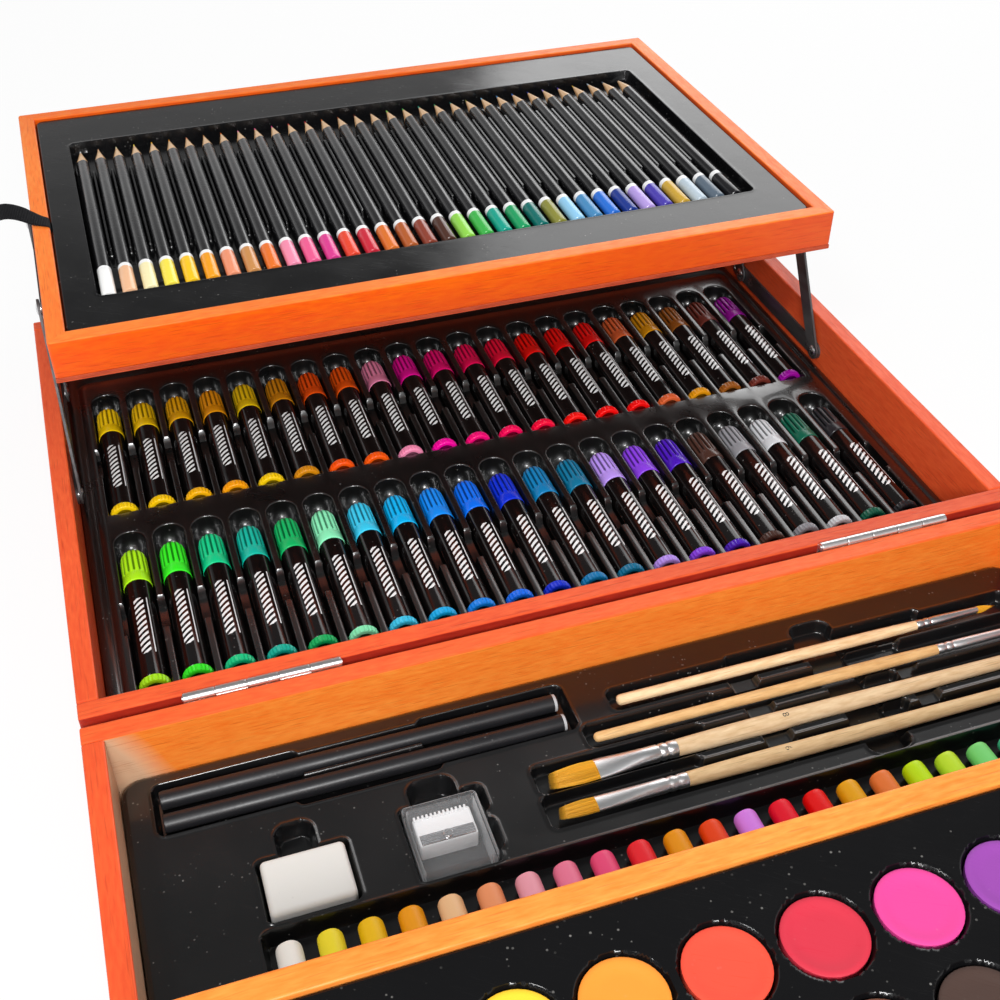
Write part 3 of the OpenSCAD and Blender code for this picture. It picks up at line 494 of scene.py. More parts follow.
field_low = (first_x - pitch / 2, row_bounds[0][0])
field_high = (first_x + pitch * (slots - 0.5), row_bounds[1][1])
groove_low, groove_high = (-202.8, -133.0), (204.6, 128.0)
skirt_low, skirt_high, skirt_bottom = (-211, -147.5), (211, 147.5), board_z + 0.2
border = loops((field_low, field_high, 0.01, insert_top),
               *groove(groove_low, groove_high, 5, insert_top),
               ((-210.2, -146.7), (210.2, 146.7), 2, insert_top),
               (skirt_low, skirt_high, 2.4, insert_top - 0.8),
               (skirt_low, skirt_high, 2.4, skirt_bottom))
level_line = np.full(trough_lines.size, insert_top)
trough_ends = np.stack([
    np.stack([np.column_stack([np.full(trough_lines.size, side), start + trough_lines, height])
              for height in (finger_height(start + trough_lines, start), level_line)])
    for side in (field_low[0], field_high[0]) for start in row_starts])

marks, marks_in, marks_out = effect("handling_marks", {"Place": "Vector"},
                                    {"Haze": "Float", "Scratch": "Float", "Speck": "Float"})
smear = noise(marks, marks_in["Place"], (38, 38, 38), 4.0)
fill(marks, marks_out["Haze"], spread(marks, smear, 0.35, 0.7))
lines = []
for tilt, size in ((0.5, (9, 460, 200)), (-0.9, (380, 12, 160))):
    leaning = add(marks, "Mapping", marks_in["Place"], Rotation=(0, 0, tilt))
    wave = calc(marks, "SUBTRACT", noise(marks, leaning, size), 0.5)
    lines.append(spread(marks, calc(marks, "ABSOLUTE", wave), 0, 0.006, 1, 0))
fill(marks, marks_out["Scratch"], calc(marks, "MAXIMUM", *lines))
dot = add(marks, "TexVoronoi", marks_in["Place"], Scale=330.0)
sparse = spread(marks, noise(marks, marks_in["Place"], (90, 90, 90), 3.0), 0.5, 0.72)
fill(marks, marks_out["Speck"],
     calc(marks, "MULTIPLY", spread(marks, dot, 0.1, 0.16, 1, 0), sparse))


def moulded(name, colour, rough, dust, scratched=0.12, **others):
    """Material of smooth plastic, paint or wax: handling leaves haze in the gloss, fine scratches
    and specks of pale dust. Colour is red, green and blue, or a function that gives a socket for
    a tree. The rest go to the shader."""
    material, tree, where = finish(name)
    worn = place(tree, marks, Place=where)
    clean = colour(tree) if callable(colour) else colour
    dusty = calc(tree, "MULTIPLY", worn["Speck"], dust)
    scratches = calc(tree, "MULTIPLY", worn["Scratch"], scratched)
    hazy = spread(tree, worn["Haze"], 0, 1, rough, rough + 0.12)
    dress(tree, Base_Color=blend(tree, dusty, clean, (0.55, 0.53, 0.5)),
          Roughness=calc(tree, "ADD", hazy, scratches),
          Normal=bumps(tree, worn["Haze"], 0.12, 0.0003), **others)
    return material


glossy_sheet = moulded("glossy_black_sheet", (0.003, 0.003, 0.003), 0.26, 0.3, 0.06,
                       Specular_IOR_Level=0.8, Coat_Weight=0.6, Coat_Roughness=0.08)
for title, grids, looped in (("marker_slots", cells[:, :, ::-1], True),
                             ("marker_insert_rim", border[:, :, ::-1], True),
                             ("finger_trough_ends", trough_ends, False)):
    fit(surface(title, grids, looped, closed=False, crease=50), glossy_sheet, "base",
        "marker_insert", slot="black_insert")


# ---- Markers ----
# Felt-tip markers in two rows of 21, caps away from the hinges: a glossy black barrel with a
# plain white printed motif, a coloured cap with grip flutes, and a ribbed end plug pressed in.

def dyes(codes, vivid=1.0, gain=1.0):
    """Colours as shares of red, green and blue light, from six-figure colour codes, drawn away
    from the grey of the same strength by the vivid factor, and then made stronger by the gain,
    as far as the strongest of the three allows."""
    figures = np.array([[int(code[i:i + 2], 16) for i in (0, 2, 4)] for code in codes.split()])
    light = np.where(figures < 11, figures / 3295, ((figures / 255 + 0.055) / 1.055) ** 2.4)
    grey = light.mean(1, keepdims=True)
    colour = np.maximum(grey + vivid * (light - grey), 0.002)
    return colour * np.minimum(gain, 0.95 / colour.max(1, keepdims=True))


def circle(sides):
    """A row of angles, evenly spaced once round."""
    return np.linspace(0, 2 * math.pi, sides, endpoint=False)[None]


def turned(stations, radii, places, axis=1, sides=32):
    """Grids of turned shapes: round the line through each place along an axis, a ring for each
    station with the radius given for it. Stations and radii may also change round the ring."""
    stations, radii = (np.asarray(a, float) for a in (stations, radii))
    stations = stations if stations.ndim == 2 else stations[:, None]
    radii = radii if radii.ndim == 2 else radii[:, None]
    s, r, angle = np.broadcast_arrays(stations, radii, circle(sides))
    ring = np.zeros(s.shape + (3,))
    ring[..., axis] = s
    ring[..., 1 - axis] = r * np.cos(angle)
    ring[..., 2] = r * np.sin(angle)
    return ring + np.asarray(places, float)[:, None, None]


def between(tree, value, low, high):
    """1 where the value lies between low and high, and otherwise 0."""
    over = calc(tree, "GREATER_THAN", value, low)
    under = calc(tree, "LESS_THAN", value, high)
    return calc(tree, "MULTIPLY", over, under)


marker_axis, marker_start = 11.35, 1.8
marker_dyes = dyes(
    "a9e24e 4ddb46 12ae7a 0f9c8a 22995a 8ad8ae 5fc6e6 36b4ea 2b82d4 2f72da 1b3db2 146f9c "
    "0e6684 b69ae6 7d4fc2 4a309c 3e2a24 7c7c80 b4b6b9 174f3e 1d1d20 "
    "f8d321 f6cc12 f7bb12 f0a418 d3b21e b3791e e8632c ef6a1e f19ab8 e2459a ea3a80 e63a66 "
    "d92a4e e6402a d52a2c c6222c b05a40 b57f2c 7a4a28 572a24 7a2b7c", 1.2, 1.4)
marker_places = [(first_x + pitch * i, start + marker_start, marker_axis)
                 for start in row_starts for i in range(slots)]


def per_row(colours, rows):
    """The colour of each piece, repeated for all the strips of its grid."""
    return np.repeat(colours[:, None], rows - 1, 1)


def tinted(tree):
    """The colour that the piece's own faces carry."""
    return add(tree, "VertexColor", layer_name="Tint")


def printed(tree):
    """Barrel colour with its print: a thin line and, beside it, a row of slanted bars, both white,
    along the top of the barrel. The place round the barrel comes from the map and the place along
    it from Y, counted from the start of either row."""
    bar_lean, bar_pitch, print_length = 34.0, 3.6, (20.0, 57.0)
    bar_turns, line_turns = (0.215, 0.325), (0.165, 0.178)
    y = parts_of(tree, add(tree, "TexCoord").node.outputs["Object"])["Y"]
    from_start = calc(tree, "MULTIPLY_ADD", y, 1000, row_step - row_starts[0])
    run = calc(tree, "FLOORED_MODULO", from_start, row_step)
    turn = map_of(tree)["X"]
    slant = calc(tree, "MULTIPLY_ADD", turn, bar_lean, run)
    beat = calc(tree, "FRACT", calc(tree, "DIVIDE", slant, bar_pitch))
    bars = calc(tree, "MULTIPLY", between(tree, beat, 0.0, 0.5), between(tree, turn, *bar_turns))
    white = calc(tree, "MAXIMUM", bars, between(tree, turn, *line_turns))
    white = calc(tree, "MULTIPLY", white, between(tree, run, *print_length))
    return blend(tree, white, (0.004, 0.003, 0.003), (0.8, 0.8, 0.8))


barrel_at, barrel_r = [3.8, 3.8, 4.2, 68.2, 68.7, 68.7], [0, 6.35, 6.65, 6.65, 6.35, 0]
barrels = turned(barrel_at, barrel_r, marker_places)
fit(surface("marker_barrels_print", barrels, True, crease=30),
    moulded("printed_barrel", printed, 0.09, 0.25, 0.1, Specular_IOR_Level=0.5), "base",
    "marker_barrels", slot="black_gloss_plastic")

cap_sides, cap_flutes = 84, 14
flute = (0.5 - 0.5 * np.cos(cap_flutes * circle(cap_sides))) ** 4
cap_at = np.array([68.7, 68.7, 69.1, 74.2, 74.6, 75.6, 77.5,
                   88.8, 89.9, 91.6, 92.9, 93.6, 93.7, 93.7])
cap_r = np.array([0, 6.6, 6.85, 6.8, 6.62, 6.6, 6.62, 6.32, 6.2, 5.7, 4.9, 4.0, 3.2, 0])
cap_depth = np.array([0, 0, 0, 0, 0, 0.3, 1.2, 1.25, 1.25, 1.1, 0.5, 0, 0, 0])
caps = turned(cap_at, cap_r[:, None] - cap_depth[:, None] * flute, marker_places,
              sides=cap_sides)


def fluted(tree):
    """The faces' own colour, and a third of it where the map lies in a groove of the cap: painted
    shade in the flutes. The grooves run between fractions of the cap's rows."""
    spot = map_of(tree)
    beat = calc(tree, "FRACT", calc(tree, "MULTIPLY", spot["X"], cap_flutes))
    off = calc(tree, "ABSOLUTE", calc(tree, "SUBTRACT", beat, 0.5))
    groove_shade = spread(tree, off, 0.12, 0.25, 0.68, 0.0)
    rows = cap_at.size - 1
    grooved_rows = between(tree, spot["Y"], 5.6 / rows, 10.2 / rows)
    share = calc(tree, "MULTIPLY", groove_shade, grooved_rows)
    return blend(tree, share, tinted(tree), (0.0, 0.0, 0.0))


fit(surface("marker_caps_fluted", caps, True, per_row(marker_dyes, cap_at.size), crease=32),
    moulded("cap_plastic", fluted, 0.24, 0.05, 0.05), "base", "marker_caps", slot="marker_colour")

plug_sides, plug_ribs = 96, 24
rib = 0.5 - 0.5 * np.cos(plug_ribs * circle(plug_sides))
plug_at = np.array([2.8, 2.8, 0.6, 0.1, 0.0, 0.0, 0.25, 0.8, 3.1, 3.5, 3.8, 3.8])
plug_r = np.array([0, 4.1, 4.47, 4.6, 4.9, 6.4, 6.95, 7.2, 7.2, 7.0, 6.8, 0])
plug_depth = np.array([0, 0, 0, 0, 0, 0.1, 0.4, 0.55, 0.55, 0.3, 0, 0])
plugs = turned(plug_at, plug_r[:, None] - plug_depth[:, None] * rib, marker_places,
               sides=plug_sides)
plug_tints_recess_shaded = per_row(marker_dyes, plug_at.size)
# The hollow in the end of each plug is painted at a quarter of its colour: painted shade in the
# recess.
plug_tints_recess_shaded[:, :2] *= 0.25
fit(surface("marker_end_plugs_ribbed", plugs, True, plug_tints_recess_shaded, crease=32),
    moulded("plug_plastic", tinted, 0.28, 0.05, 0.05, Subsurface_Weight=0.05,
            Subsurface_Radius=(0.002, 0.002, 0.002)), "base", "marker_end_plugs",
    slot="marker_colour")


# ---- Rails, rivets and screws of the base half ----
# A punched steel rail is screwed to the inside of each end wall. Round-headed rivets carry the
# two links of that side, with a washer behind each, and countersunk screws hold the rail.

def metal(name, colour, rough, brushed, spotted, punched=False):
    """Material of bare metal: fine lines from rolling or turning, brushed waves to a metre along
    each axis, change its gloss, and darker spots of tarnish lie over them by the given share.
    Punched bars that face left and right have dull, darker edges."""
    material, tree, where = finish(name)
    line = noise(tree, where, brushed, 3.0)
    worn = place(tree, marks, Place=where)
    tarnish = calc(tree, "MULTIPLY", worn["Haze"], spotted)
    shade = blend(tree, spread(tree, line, 0.3, 0.7), 0.82 * np.array(colour), colour)
    if punched:
        across = calc(tree, "ABSOLUTE", normal_of(tree)["X"])
        edge = spread(tree, across, 0.4, 0.6, 1.0, 0.0)
        shade = blend(tree, edge, shade, 0.42 * np.array(colour))
        line = calc(tree, "ADD", line, calc(tree, "MULTIPLY", edge, 0.8))
    lined = add(tree, "MapRange", line, 0.3, 0.7, rough, rough + 0.14, clamp=False)
    scratches = calc(tree, "MULTIPLY", worn["Scratch"], 0.1)
    dress(tree, Base_Color=blend(tree, tarnish, shade, (0.16, 0.14, 0.13)), Metallic=1.0,
          Roughness=calc(tree, "ADD", lined, scratches), Normal=bumps(tree, line, 0.1, 0.0001))
    return material


def keep(material, *nodes):
    """Gives solids whose shape is right a finish, and leaves their shape alone."""
    for name in nodes:
        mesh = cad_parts[name].data
        mesh.materials.clear()
        mesh.materials.append(material)


steel = metal("rolled_steel", (0.34, 0.34, 0.35), 0.32, (120, 40, 300), 0.25, punched=True)
bright = metal("bright_steel", (0.78, 0.78, 0.79), 0.2, (60, 900, 900), 0.1)
keep(steel, "base_rails", "lid_rails")
keep(bright, "base_wood_screws", "lid_wood_screws")

link_x, link_t, rail_x = 208.7, 1.2, 210.3
head_high, shank_end = 1.05, 211.4
pivot_y, pivot_z, link_pitch = 16.4, 24.0, 94.0
lid_middle = -318.7


def both_sides(grids):
    """Shapes on the right side, and their mirror images on the left."""
    return np.concatenate([grids, grids * [-1, 1, 1]])


def rivets(name, head_x, into_x, washer_x, points, body, node):
    """Rivets on both sides at points (y, z): a domed head from head_x, a plain shank to into_x
    and a washer between the two numbers of washer_x. X is turned over for the left side."""
    way = math.copysign(1, into_x - head_x)
    dome = head_x + way * np.array([0, 0.12, 0.45, 1.0, 1.0])
    at = np.append(dome, np.repeat([*washer_x, into_x], 2))
    wide = [0, 1.5, 2.7, 3.4, 2.0, 2.0, 3.2, 3.2, 2.0, 2.0, 0]
    grids = both_sides(turned(at, wide, [(0, y, z) for y, z in points], axis=0, sides=24))
    fit(surface(name, grids, True, crease=28), bright, body, node, slot="bright_steel")


def stop_pins(name, y, body):
    """Headed pins on both sides at a place along Y, where the rear links come to rest."""
    pin = turned([link_x - 0.2, link_x - 0.1, link_x + 0.4, shank_end, shank_end],
                 [0, 1.3, 1.8, 1.8, 0], [(0, y, pivot_z)], axis=0, sides=20)
    fit(surface(name, both_sides(pin), True, crease=28), bright, body, slot="bright_steel")


case_points = [(pivot_y, pivot_z), (pivot_y + link_pitch, pivot_z)]
case_rivet = (link_x - head_high, shank_end, (link_x + link_t + 0.05, rail_x))
rivets("base_pivot_rivets", *case_rivet, case_points, "base", "base_rivets")
stop_y = pivot_y + link_pitch + 8.3
stop_pins("base_stop_pins", stop_y, "base")


# ---- Butt hinges ----
# Two pressed steel butt hinges join the halves at rim height. Each leaf is rolled round the pin
# in turn, five knuckles in all, and held by three countersunk screws.

keep(metal("hinge_steel", (0.86, 0.85, 0.85), 0.3, (9, 60, 60), 0.04), "base_hinge_leaves",
     "lid_hinge_leaves", "hinge_pins")
knuckle_at = np.array([0.12, 0.12, 0.2, 0.6, 0.8, 12.4, 12.6, 13.0, 13.08, 13.08])
knuckle_wide = np.array([0, 1.6, 1.9, 2.13, 2.13, 2.13, 2.13, 1.9, 1.6, 0])
knuckle_pitch, hinge_axis, hinge_middles = 13.2, (-159.35, 45), (-146, 146)
for title, body, turns in (("base_knuckles", "base", (0, 2, 4)), ("lid_knuckles", "lid", (1, 3))):
    starts = [(middle - 2.5 * knuckle_pitch + knuckle_pitch * i, *hinge_axis)
              for middle in hinge_middles for i in turns]
    fit(surface(title, turned(knuckle_at, knuckle_wide, starts, 0, 28), True, crease=40),
        bpy.data.materials["hinge_steel"], body, slot="bright_steel")


# ---- Handle and catches on the base half ----
# A moulded black bail handle turns in two pressed steel eyes, screwed to the middle of the wall.
# Beside it two small steel hooks take the latches of the lid.

keep(bright, "handle_brackets", "latch_catches")


def swept(path, wide, high, sides=20, lean=(0, 0, 1)):
    """Grid of a round or oval bar along a path: at each point an ellipse across the path, with
    its height along lean and its width across both. Both ends are drawn in to the path."""
    path = np.asarray(path, float)
    step = np.gradient(path, axis=0)
    step /= np.linalg.norm(step, axis=1)[:, None]
    side = np.cross(step, lean)
    side /= np.linalg.norm(side, axis=1)[:, None]
    top = np.cross(side, step)
    angle = circle(sides)[:, :, None]
    wide, high = (np.broadcast_to(a, len(path))[:, None, None] for a in (wide, high))
    ring = (path[:, None] + wide * np.cos(angle) * side[:, None]
            + high * np.sin(angle) * top[:, None])
    caps = np.broadcast_to(path[[0, -1], None], (2, sides, 3))
    return np.concatenate([caps[:1], ring, caps[1:]])[None]


handle_y, handle_z, reach, arm_x, bend_r = 163.0, 22.5, 30.0, 52.0, 11.0
droop = math.asin((handle_z - 5 - 0.3) / reach)
bend = np.linspace(0, math.pi / 2, 9)
half_path = np.concatenate([np.stack([np.full(6, arm_x), np.linspace(-3.6, reach - bend_r, 6)], -1),
                            np.stack([arm_x - bend_r + bend_r * np.cos(bend),
                                      reach - bend_r + bend_r * np.sin(bend)], -1)[1:],
                            np.stack([np.linspace(arm_x - bend_r - 3, 0, 9),
                                      np.full(9, reach)], -1)])
flat_path = np.concatenate([half_path, half_path[-2::-1] * [-1, 1]])
handle_path = np.stack([flat_path[:, 0], handle_y + flat_path[:, 1] * math.cos(droop),
                        handle_z - flat_path[:, 1] * math.sin(droop)], -1)
swell = np.interp(np.abs(flat_path[:, 0]), [0, 36, 46, 52], [5, 4.7, 3.9, 3.6])
swell[[0, -1]] = 2.2
fit(surface("bail_handle", swept(handle_path, swell, swell * 0.98), True, crease=50),
    moulded("handle_plastic", (0.012, 0.012, 0.013), 0.42, 0.2, 0.2), "handle", "carry_handle",
    slot="handle_plastic")
pins = turned([40.6, 40.6, 41, 52, 52], [0, 1.7, 2, 2, 0], [(0, handle_y, handle_z)], 0, 16)
fit(surface("handle_pins", both_sides(pins), True, crease=30), bright, "handle",
    slot="bright_steel")


# ---- Links and tray rails ----
# Eight flat steel bars, four to a tray, punched with round ends. They swing back to lift the tray
# and hold it level, and rivets join them to the rails of the case below and of the tray above.

keep(steel, "pencil_front_links", "pencil_rear_links", "lid_front_links", "lid_rear_links",
     "pencil_tray_rails", "lid_tray_rails")


# ---- Walls of the pencil tray ----
# Four beech strips, mitred and glued at the corners and sanded round together, with an orange stain
# that has taken unevenly, and a satin varnish. Their top edges carry paler tones of painted light.
# The side strips carry the steel rails.

tray_x, tray_y0, tray_y1, tray_top = 207.0, 15.07, 286.07, 114.6
tray_bottom, tray_ply = 92.1, 2.5
link_dy, link_dz = 48.67, 81.0


def mitred(low, high, bottom, top, side, deep=9.0, corner=1.6, ease=0.8):
    """One wall of a mitred frame. Its section is a rectangle with eased edges. At depth d from the
    outer face the section's point runs along the frame's outline, drawn in by d, from one mitre to
    the other: an eighth of a turn of the corner radius less d, the straight, and an eighth again.
    A last row at each end closes the cut. Side 0 is the front wall, and the count goes on
    anticlockwise."""
    quarter = np.linspace(0, math.pi / 2, 4)
    about = np.concatenate([quarter + k * math.pi / 2 for k in range(4)])
    d = np.repeat([deep - ease, ease, ease, deep - ease], 4) + ease * np.cos(about)
    z = np.repeat([top - ease, top - ease, bottom + ease, bottom + ease], 4) + ease * np.sin(about)
    length = (high[0] - low[0], high[1] - low[1])[side % 2] / 2
    eighth = np.radians([45, 30, 15, 0])[:, None]
    centre = np.maximum(corner, d)
    radius = np.maximum(corner - d, 0)
    u = length - centre + radius * np.sin(eighth)
    v = centre - radius * np.cos(eighth)
    u, v = np.vstack([u, -u[::-1]]), np.vstack([v, v[::-1]])
    z = np.broadcast_to(z, u.shape)
    end_row = np.ones((1, d.size))
    u = np.vstack([end_row * (length - deep / 2), u, end_row * (deep / 2 - length)])
    v = np.vstack([end_row * deep / 2, v, end_row * deep / 2])
    z = np.vstack([end_row * (top + bottom) / 2, z, end_row * (top + bottom) / 2])
    middle = (low[0] + high[0]) / 2, (low[1] + high[1]) / 2
    x, y = ((middle[0] + u, low[1] + v), (high[0] - v, middle[1] + u),
            (middle[0] - u, high[1] - v), (low[0] + v, middle[1] - u))[side]
    return np.stack([x, y, z], -1)[None]


orange_deep, orange_full = (0.86, 0.078, 0.002), (0.97, 0.165, 0.004)
# Paler, yellower tones along the strips' top edges: painted light, where the light from above falls
# on the rim.
tray_rim_painted_light = (0.1139, (0.93, 0.155, 0.012), (0.97, 0.29, 0.04))
orange_long = stained("orange_stain_long", 0, orange_deep, orange_full, rim=tray_rim_painted_light, redder=True)
orange_short = stained("orange_stain_short", 1, orange_deep, orange_full, rim=tray_rim_painted_light, redder=True)
tray_low, tray_high = (-tray_x, tray_y0), (tray_x, tray_y1)
wall_bottom = tray_bottom + tray_ply


def strips(title, low, high, sides, material, body, node):
    """The strips of a tray's frame on the sides given, as one piece."""
    walls = [mitred(low, high, wall_bottom, tray_top, side) for side in sides]
    fit(surface(title, np.concatenate(walls), True, crease=14), material, body, node,
        slot="orange_stained_wood")


strips("pencil_tray_front_strip", tray_low, tray_high, [0], orange_long, "pencil_tray",
       "pencil_tray_front_wall")
strips("pencil_tray_rear_strip", tray_low, tray_high, [2], orange_long, "pencil_tray",
       "pencil_tray_rear_wall")
strips("pencil_tray_side_strips", tray_low, tray_high, [1, 3], orange_short, "pencil_tray",
       "pencil_tray_side_walls")


# ---- Board and fixings of the pencil tray ----
# Thin stained ply, pinned under the strips, level with their outer faces. The same round-headed
# rivets as on the case join the links to the rails of the tray.

ply_board("pencil_tray_ply", (*tray_low, tray_bottom), (*tray_high, wall_bottom), "pencil_tray",
          "pencil_tray_board")
tray_points = [(y + link_dy, z + link_dz) for y, z in case_points]
tray_rivet = (link_x + link_t + head_high, tray_x, (link_x - 0.05, 208.2))
rivets("pencil_tray_rivets", *tray_rivet, tray_points, "pencil_tray", "pencil_tray_fixings")


# ---- Pencil insert ----
# Black plastic sheet, formed with one deep bay. Ribs on the bay's floor keep the pencils apart,
# and two low steps cross it under their dipped ends.

def snapped(low, high, edges, step, near=2.4, fine=0.6):
    """Grid lines from low to high: one every step, and finer ones on both sides of each edge."""
    close = np.arange(-near, near + fine / 2, fine)
    found = np.concatenate([np.linspace(low, high, int((high - low) / step) + 2),
                            (np.array(edges)[:, None] + close).ravel()])
    found = np.unique(found[(found >= low) & (found <= high)].round(3))
    return found[np.append(True, np.diff(found) > 0.12)]


def inside(x, y, low, high, radius):
    """How far a point lies inside a rectangle with round corners; less than 0 is outside."""
    away_x = np.abs(x - (low[0] + high[0]) / 2) - (high[0] - low[0]) / 2 + radius
    away_y = np.abs(y - (low[1] + high[1]) / 2) - (high[1] - low[1]) / 2 + radius
    return radius - np.hypot(np.maximum(away_x, 0), np.maximum(away_y, 0)) \
        - np.minimum(np.maximum(away_x, away_y), 0)


def pressed(x, y, top, pockets, wide=1.5, bead=0.0):
    """Heights of a formed sheet over grid lines: its top, and in each pocket (low corner, high
    corner, floor, radius) a smooth step down to the floor across its outline, as wide as the
    pocket's own fifth number says, if it has one. A low round bead runs outside the outlines."""
    x, y = np.meshgrid(x, y)
    height = np.full(x.shape, float(top))
    nearest = np.full(x.shape, -100.0)
    for low, high, floor_height, radius, *own in pockets:
        within = inside(x, y, low, high, radius)
        share = eased(within / (own[0] if own else wide) + 0.5)
        height = np.minimum(height, top - (top - floor_height) * share)
        nearest = np.maximum(nearest, within)
    return x, y, height + bead * np.exp(-((nearest + wide / 2 + 0.2) / 0.65) ** 2)


def soft_edge(low, high, top, bottom, radius, soft):
    """Edge of a formed sheet with round corners: from the sheet over a quarter round of the soft
    radius, and down its skirt to what it stands on."""
    bow = np.radians([0, 22, 45, 67, 90])
    inset, sink = soft * (1 - np.sin(bow)), soft * (1 - np.cos(bow))
    steps = [((low[0] + w, low[1] + w), (high[0] - w, high[1] - w), radius - w, top - d)
             for w, d in zip(inset, sink)]
    return loops(*steps, (low, high, radius, bottom))[:, :, ::-1]


def cornered(x, y, low, high, radius):
    """Grid points with the rectangle's corners drawn round: where a point is nearer than the
    radius to two sides, its place from the arc's centre is scaled, so that squares turn into
    arcs."""
    middle_x, middle_y = (low[0] + high[0]) / 2, (low[1] + high[1]) / 2
    past_x = np.abs(x - middle_x) - (high[0] - low[0]) / 2 + radius
    past_y = np.abs(y - middle_y) - (high[1] - low[1]) / 2 + radius
    there = (past_x > 0) & (past_y > 0)
    away = np.maximum(np.hypot(past_x, past_y), 1e-6)
    scale = np.where(there, np.maximum(past_x, past_y) / away, 1)
    return (x - np.sign(x - middle_x) * np.where(there, past_x * (1 - scale), 0),
            y - np.sign(y - middle_y) * np.where(there, past_y * (1 - scale), 0))


def formed(node, x, y, height, edge, material, body):
    """The top of a formed sheet, from its heights over a grid, and its edge, as two pieces that
    are named for the solid they stand for."""
    top = np.stack([x, y, height], -1)[None]
    for part, grids, around in (("_sheet", top, False), ("_edge", edge, True)):
        fit(surface(node + part, grids, around, closed=False, crease=50), material, body, node,
            slot="black_insert")


black_sheet = moulded("black_sheet", (0.004, 0.004, 0.0045), 0.11, 0.35, Specular_IOR_Level=0.3)
sheet_round, sheet_soft = 4.5, 1.1
pencil_top, bay_floor = 113.1, 106.45
bay_low, bay_high = (-180.0, 54.5), (178.5, 237.0)
pencil_pitch, pencil_x0, pencils_in = 10.4, -175.0, 34
sheet_low, sheet_high = (-197.5, 24.57), (197.5, 276.57)
rib_x = pencil_x0 + pencil_pitch * (np.arange(pencils_in - 1) + 0.5)
rib_high, rib_ends, step_high, step_ends = 5.2, (102, 201), 0.5, (67, 92.7)
lines_x = np.unique(np.concatenate([
    snapped(sheet_low[0] + sheet_soft, sheet_high[0] - sheet_soft,
            [bay_low[0], bay_high[0], sheet_low[0] + 2.8, sheet_high[0] - 2.8], 14),
    (rib_x[:, None] + [-1.5, -0.9, -0.5, 0.5, 0.9, 1.5]).ravel()]).round(3))
lines_y = snapped(sheet_low[1] + sheet_soft, sheet_high[1] - sheet_soft,
                  [bay_low[1], 68, 91.7, 103, 200, bay_high[1], sheet_low[1] + 2.8,
                   sheet_high[1] - 2.8], 12)
x, y, height = pressed(lines_x, lines_y, pencil_top, [(bay_low, bay_high, bay_floor, 4)], bead=0.2)
along_ribs = (x - pencil_x0) / pencil_pitch - 0.5
nearest_rib = np.clip(np.round(along_ribs), 0, pencils_in - 2)
off_rib = np.abs(along_ribs - nearest_rib) * pencil_pitch
ribs = (rib_high * eased(1.75 - off_rib / 0.9)
        * eased((y - rib_ends[0]) / 2.4) * eased((rib_ends[1] - y) / 2.4))
steps = step_high * eased((y - step_ends[0]) / 2) * eased((step_ends[1] - y) / 2)
height = height + np.where(height < bay_floor + 0.4, ribs + steps, 0)
x, y = cornered(x, y, np.add(sheet_low, sheet_soft), np.subtract(sheet_high, sheet_soft),
                sheet_round - sheet_soft)
tray_skirt = wall_bottom + 0.1
edge = soft_edge(sheet_low, sheet_high, pencil_top, tray_skirt, sheet_round, sheet_soft)
formed("pencil_insert", x, y, height, edge, black_sheet, "pencil_tray")


# ---- Coloured pencils ----
# Round cedar pencils, lacquered black, each dipped in its own colour at the blunt end with a white
# line round it, and sharpened at the other, where the cut leaves a slightly wavy edge.

pencil_dyes = dyes(
    "f3f3f1 eab78f f2e7b4 f4e04c f6c41e f19f1c ea926e c98c50 e8742a f18cab ea5c90 d83c8e "
    "e4462e c8283c d9722c b15c2c 8c4030 4e3026 8ed24e 3eb04c 159f8a 1f9c60 0f6c66 8b8a3c "
    "90c8ea 4a8aba 2a70d2 20398c b59ce0 4c40aa caa33c b8c8d4 5c6a78 1c1c1f")
cedar, lacquer, line_white = (0.62, 0.38, 0.19), (0.008, 0.008, 0.009), (0.86, 0.86, 0.86)
pencil_r, tip_at, cone_at = 3.7, 176.0, 156.0
pencil_sides = 24
wavy = cone_at + 0.35 * np.cos(5 * circle(pencil_sides))
slope = pencil_r / (tip_at - cone_at)
even_rings = np.array([0, 0, 0.25, 0.7, 24.1, 24.1, 27.4, 27.4])[:, None]
lead_rings = np.array([tip_at - 3.6, tip_at - 3.6, tip_at - 0.4, tip_at])[:, None]
pencil_at = np.concatenate([np.repeat(even_rings, pencil_sides, 1), wavy, wavy,
                            np.repeat(lead_rings, pencil_sides, 1)])
pencil_wide = np.array([0, 3.2, 3.55, *[pencil_r] * 7, 3.6 * slope, 3.6 * slope, 0.25, 0])
pencil_y0, pencil_z = 55.5, 110.2
pencil_places = [(pencil_x0 + pencil_pitch * i, pencil_y0, pencil_z) for i in range(pencils_in)]
pencil_shades = per_row(pencil_dyes, pencil_wide.size)
pencil_shades[:, 4:6] = line_white
pencil_shades[:, 6:8] = lacquer
pencil_shades[:, 8:10] = cedar
pencils = turned(pencil_at, pencil_wide, pencil_places, sides=pencil_sides)
fit(surface("lacquered_pencils", pencils, True, pencil_shades, crease=28),
    moulded("pencil_lacquer", tinted, 0.16, 0.06, 0.1, Specular_IOR_Level=0.4), "pencil_tray",
    "pencils", slot="pencil_paint")


# ---- Pull ribbon ----
# Black grosgrain ribbon, tucked between the insert and the left wall, to lift the tray by. It
# bends over the rim, leans back as it goes out, and droops at its cut end.

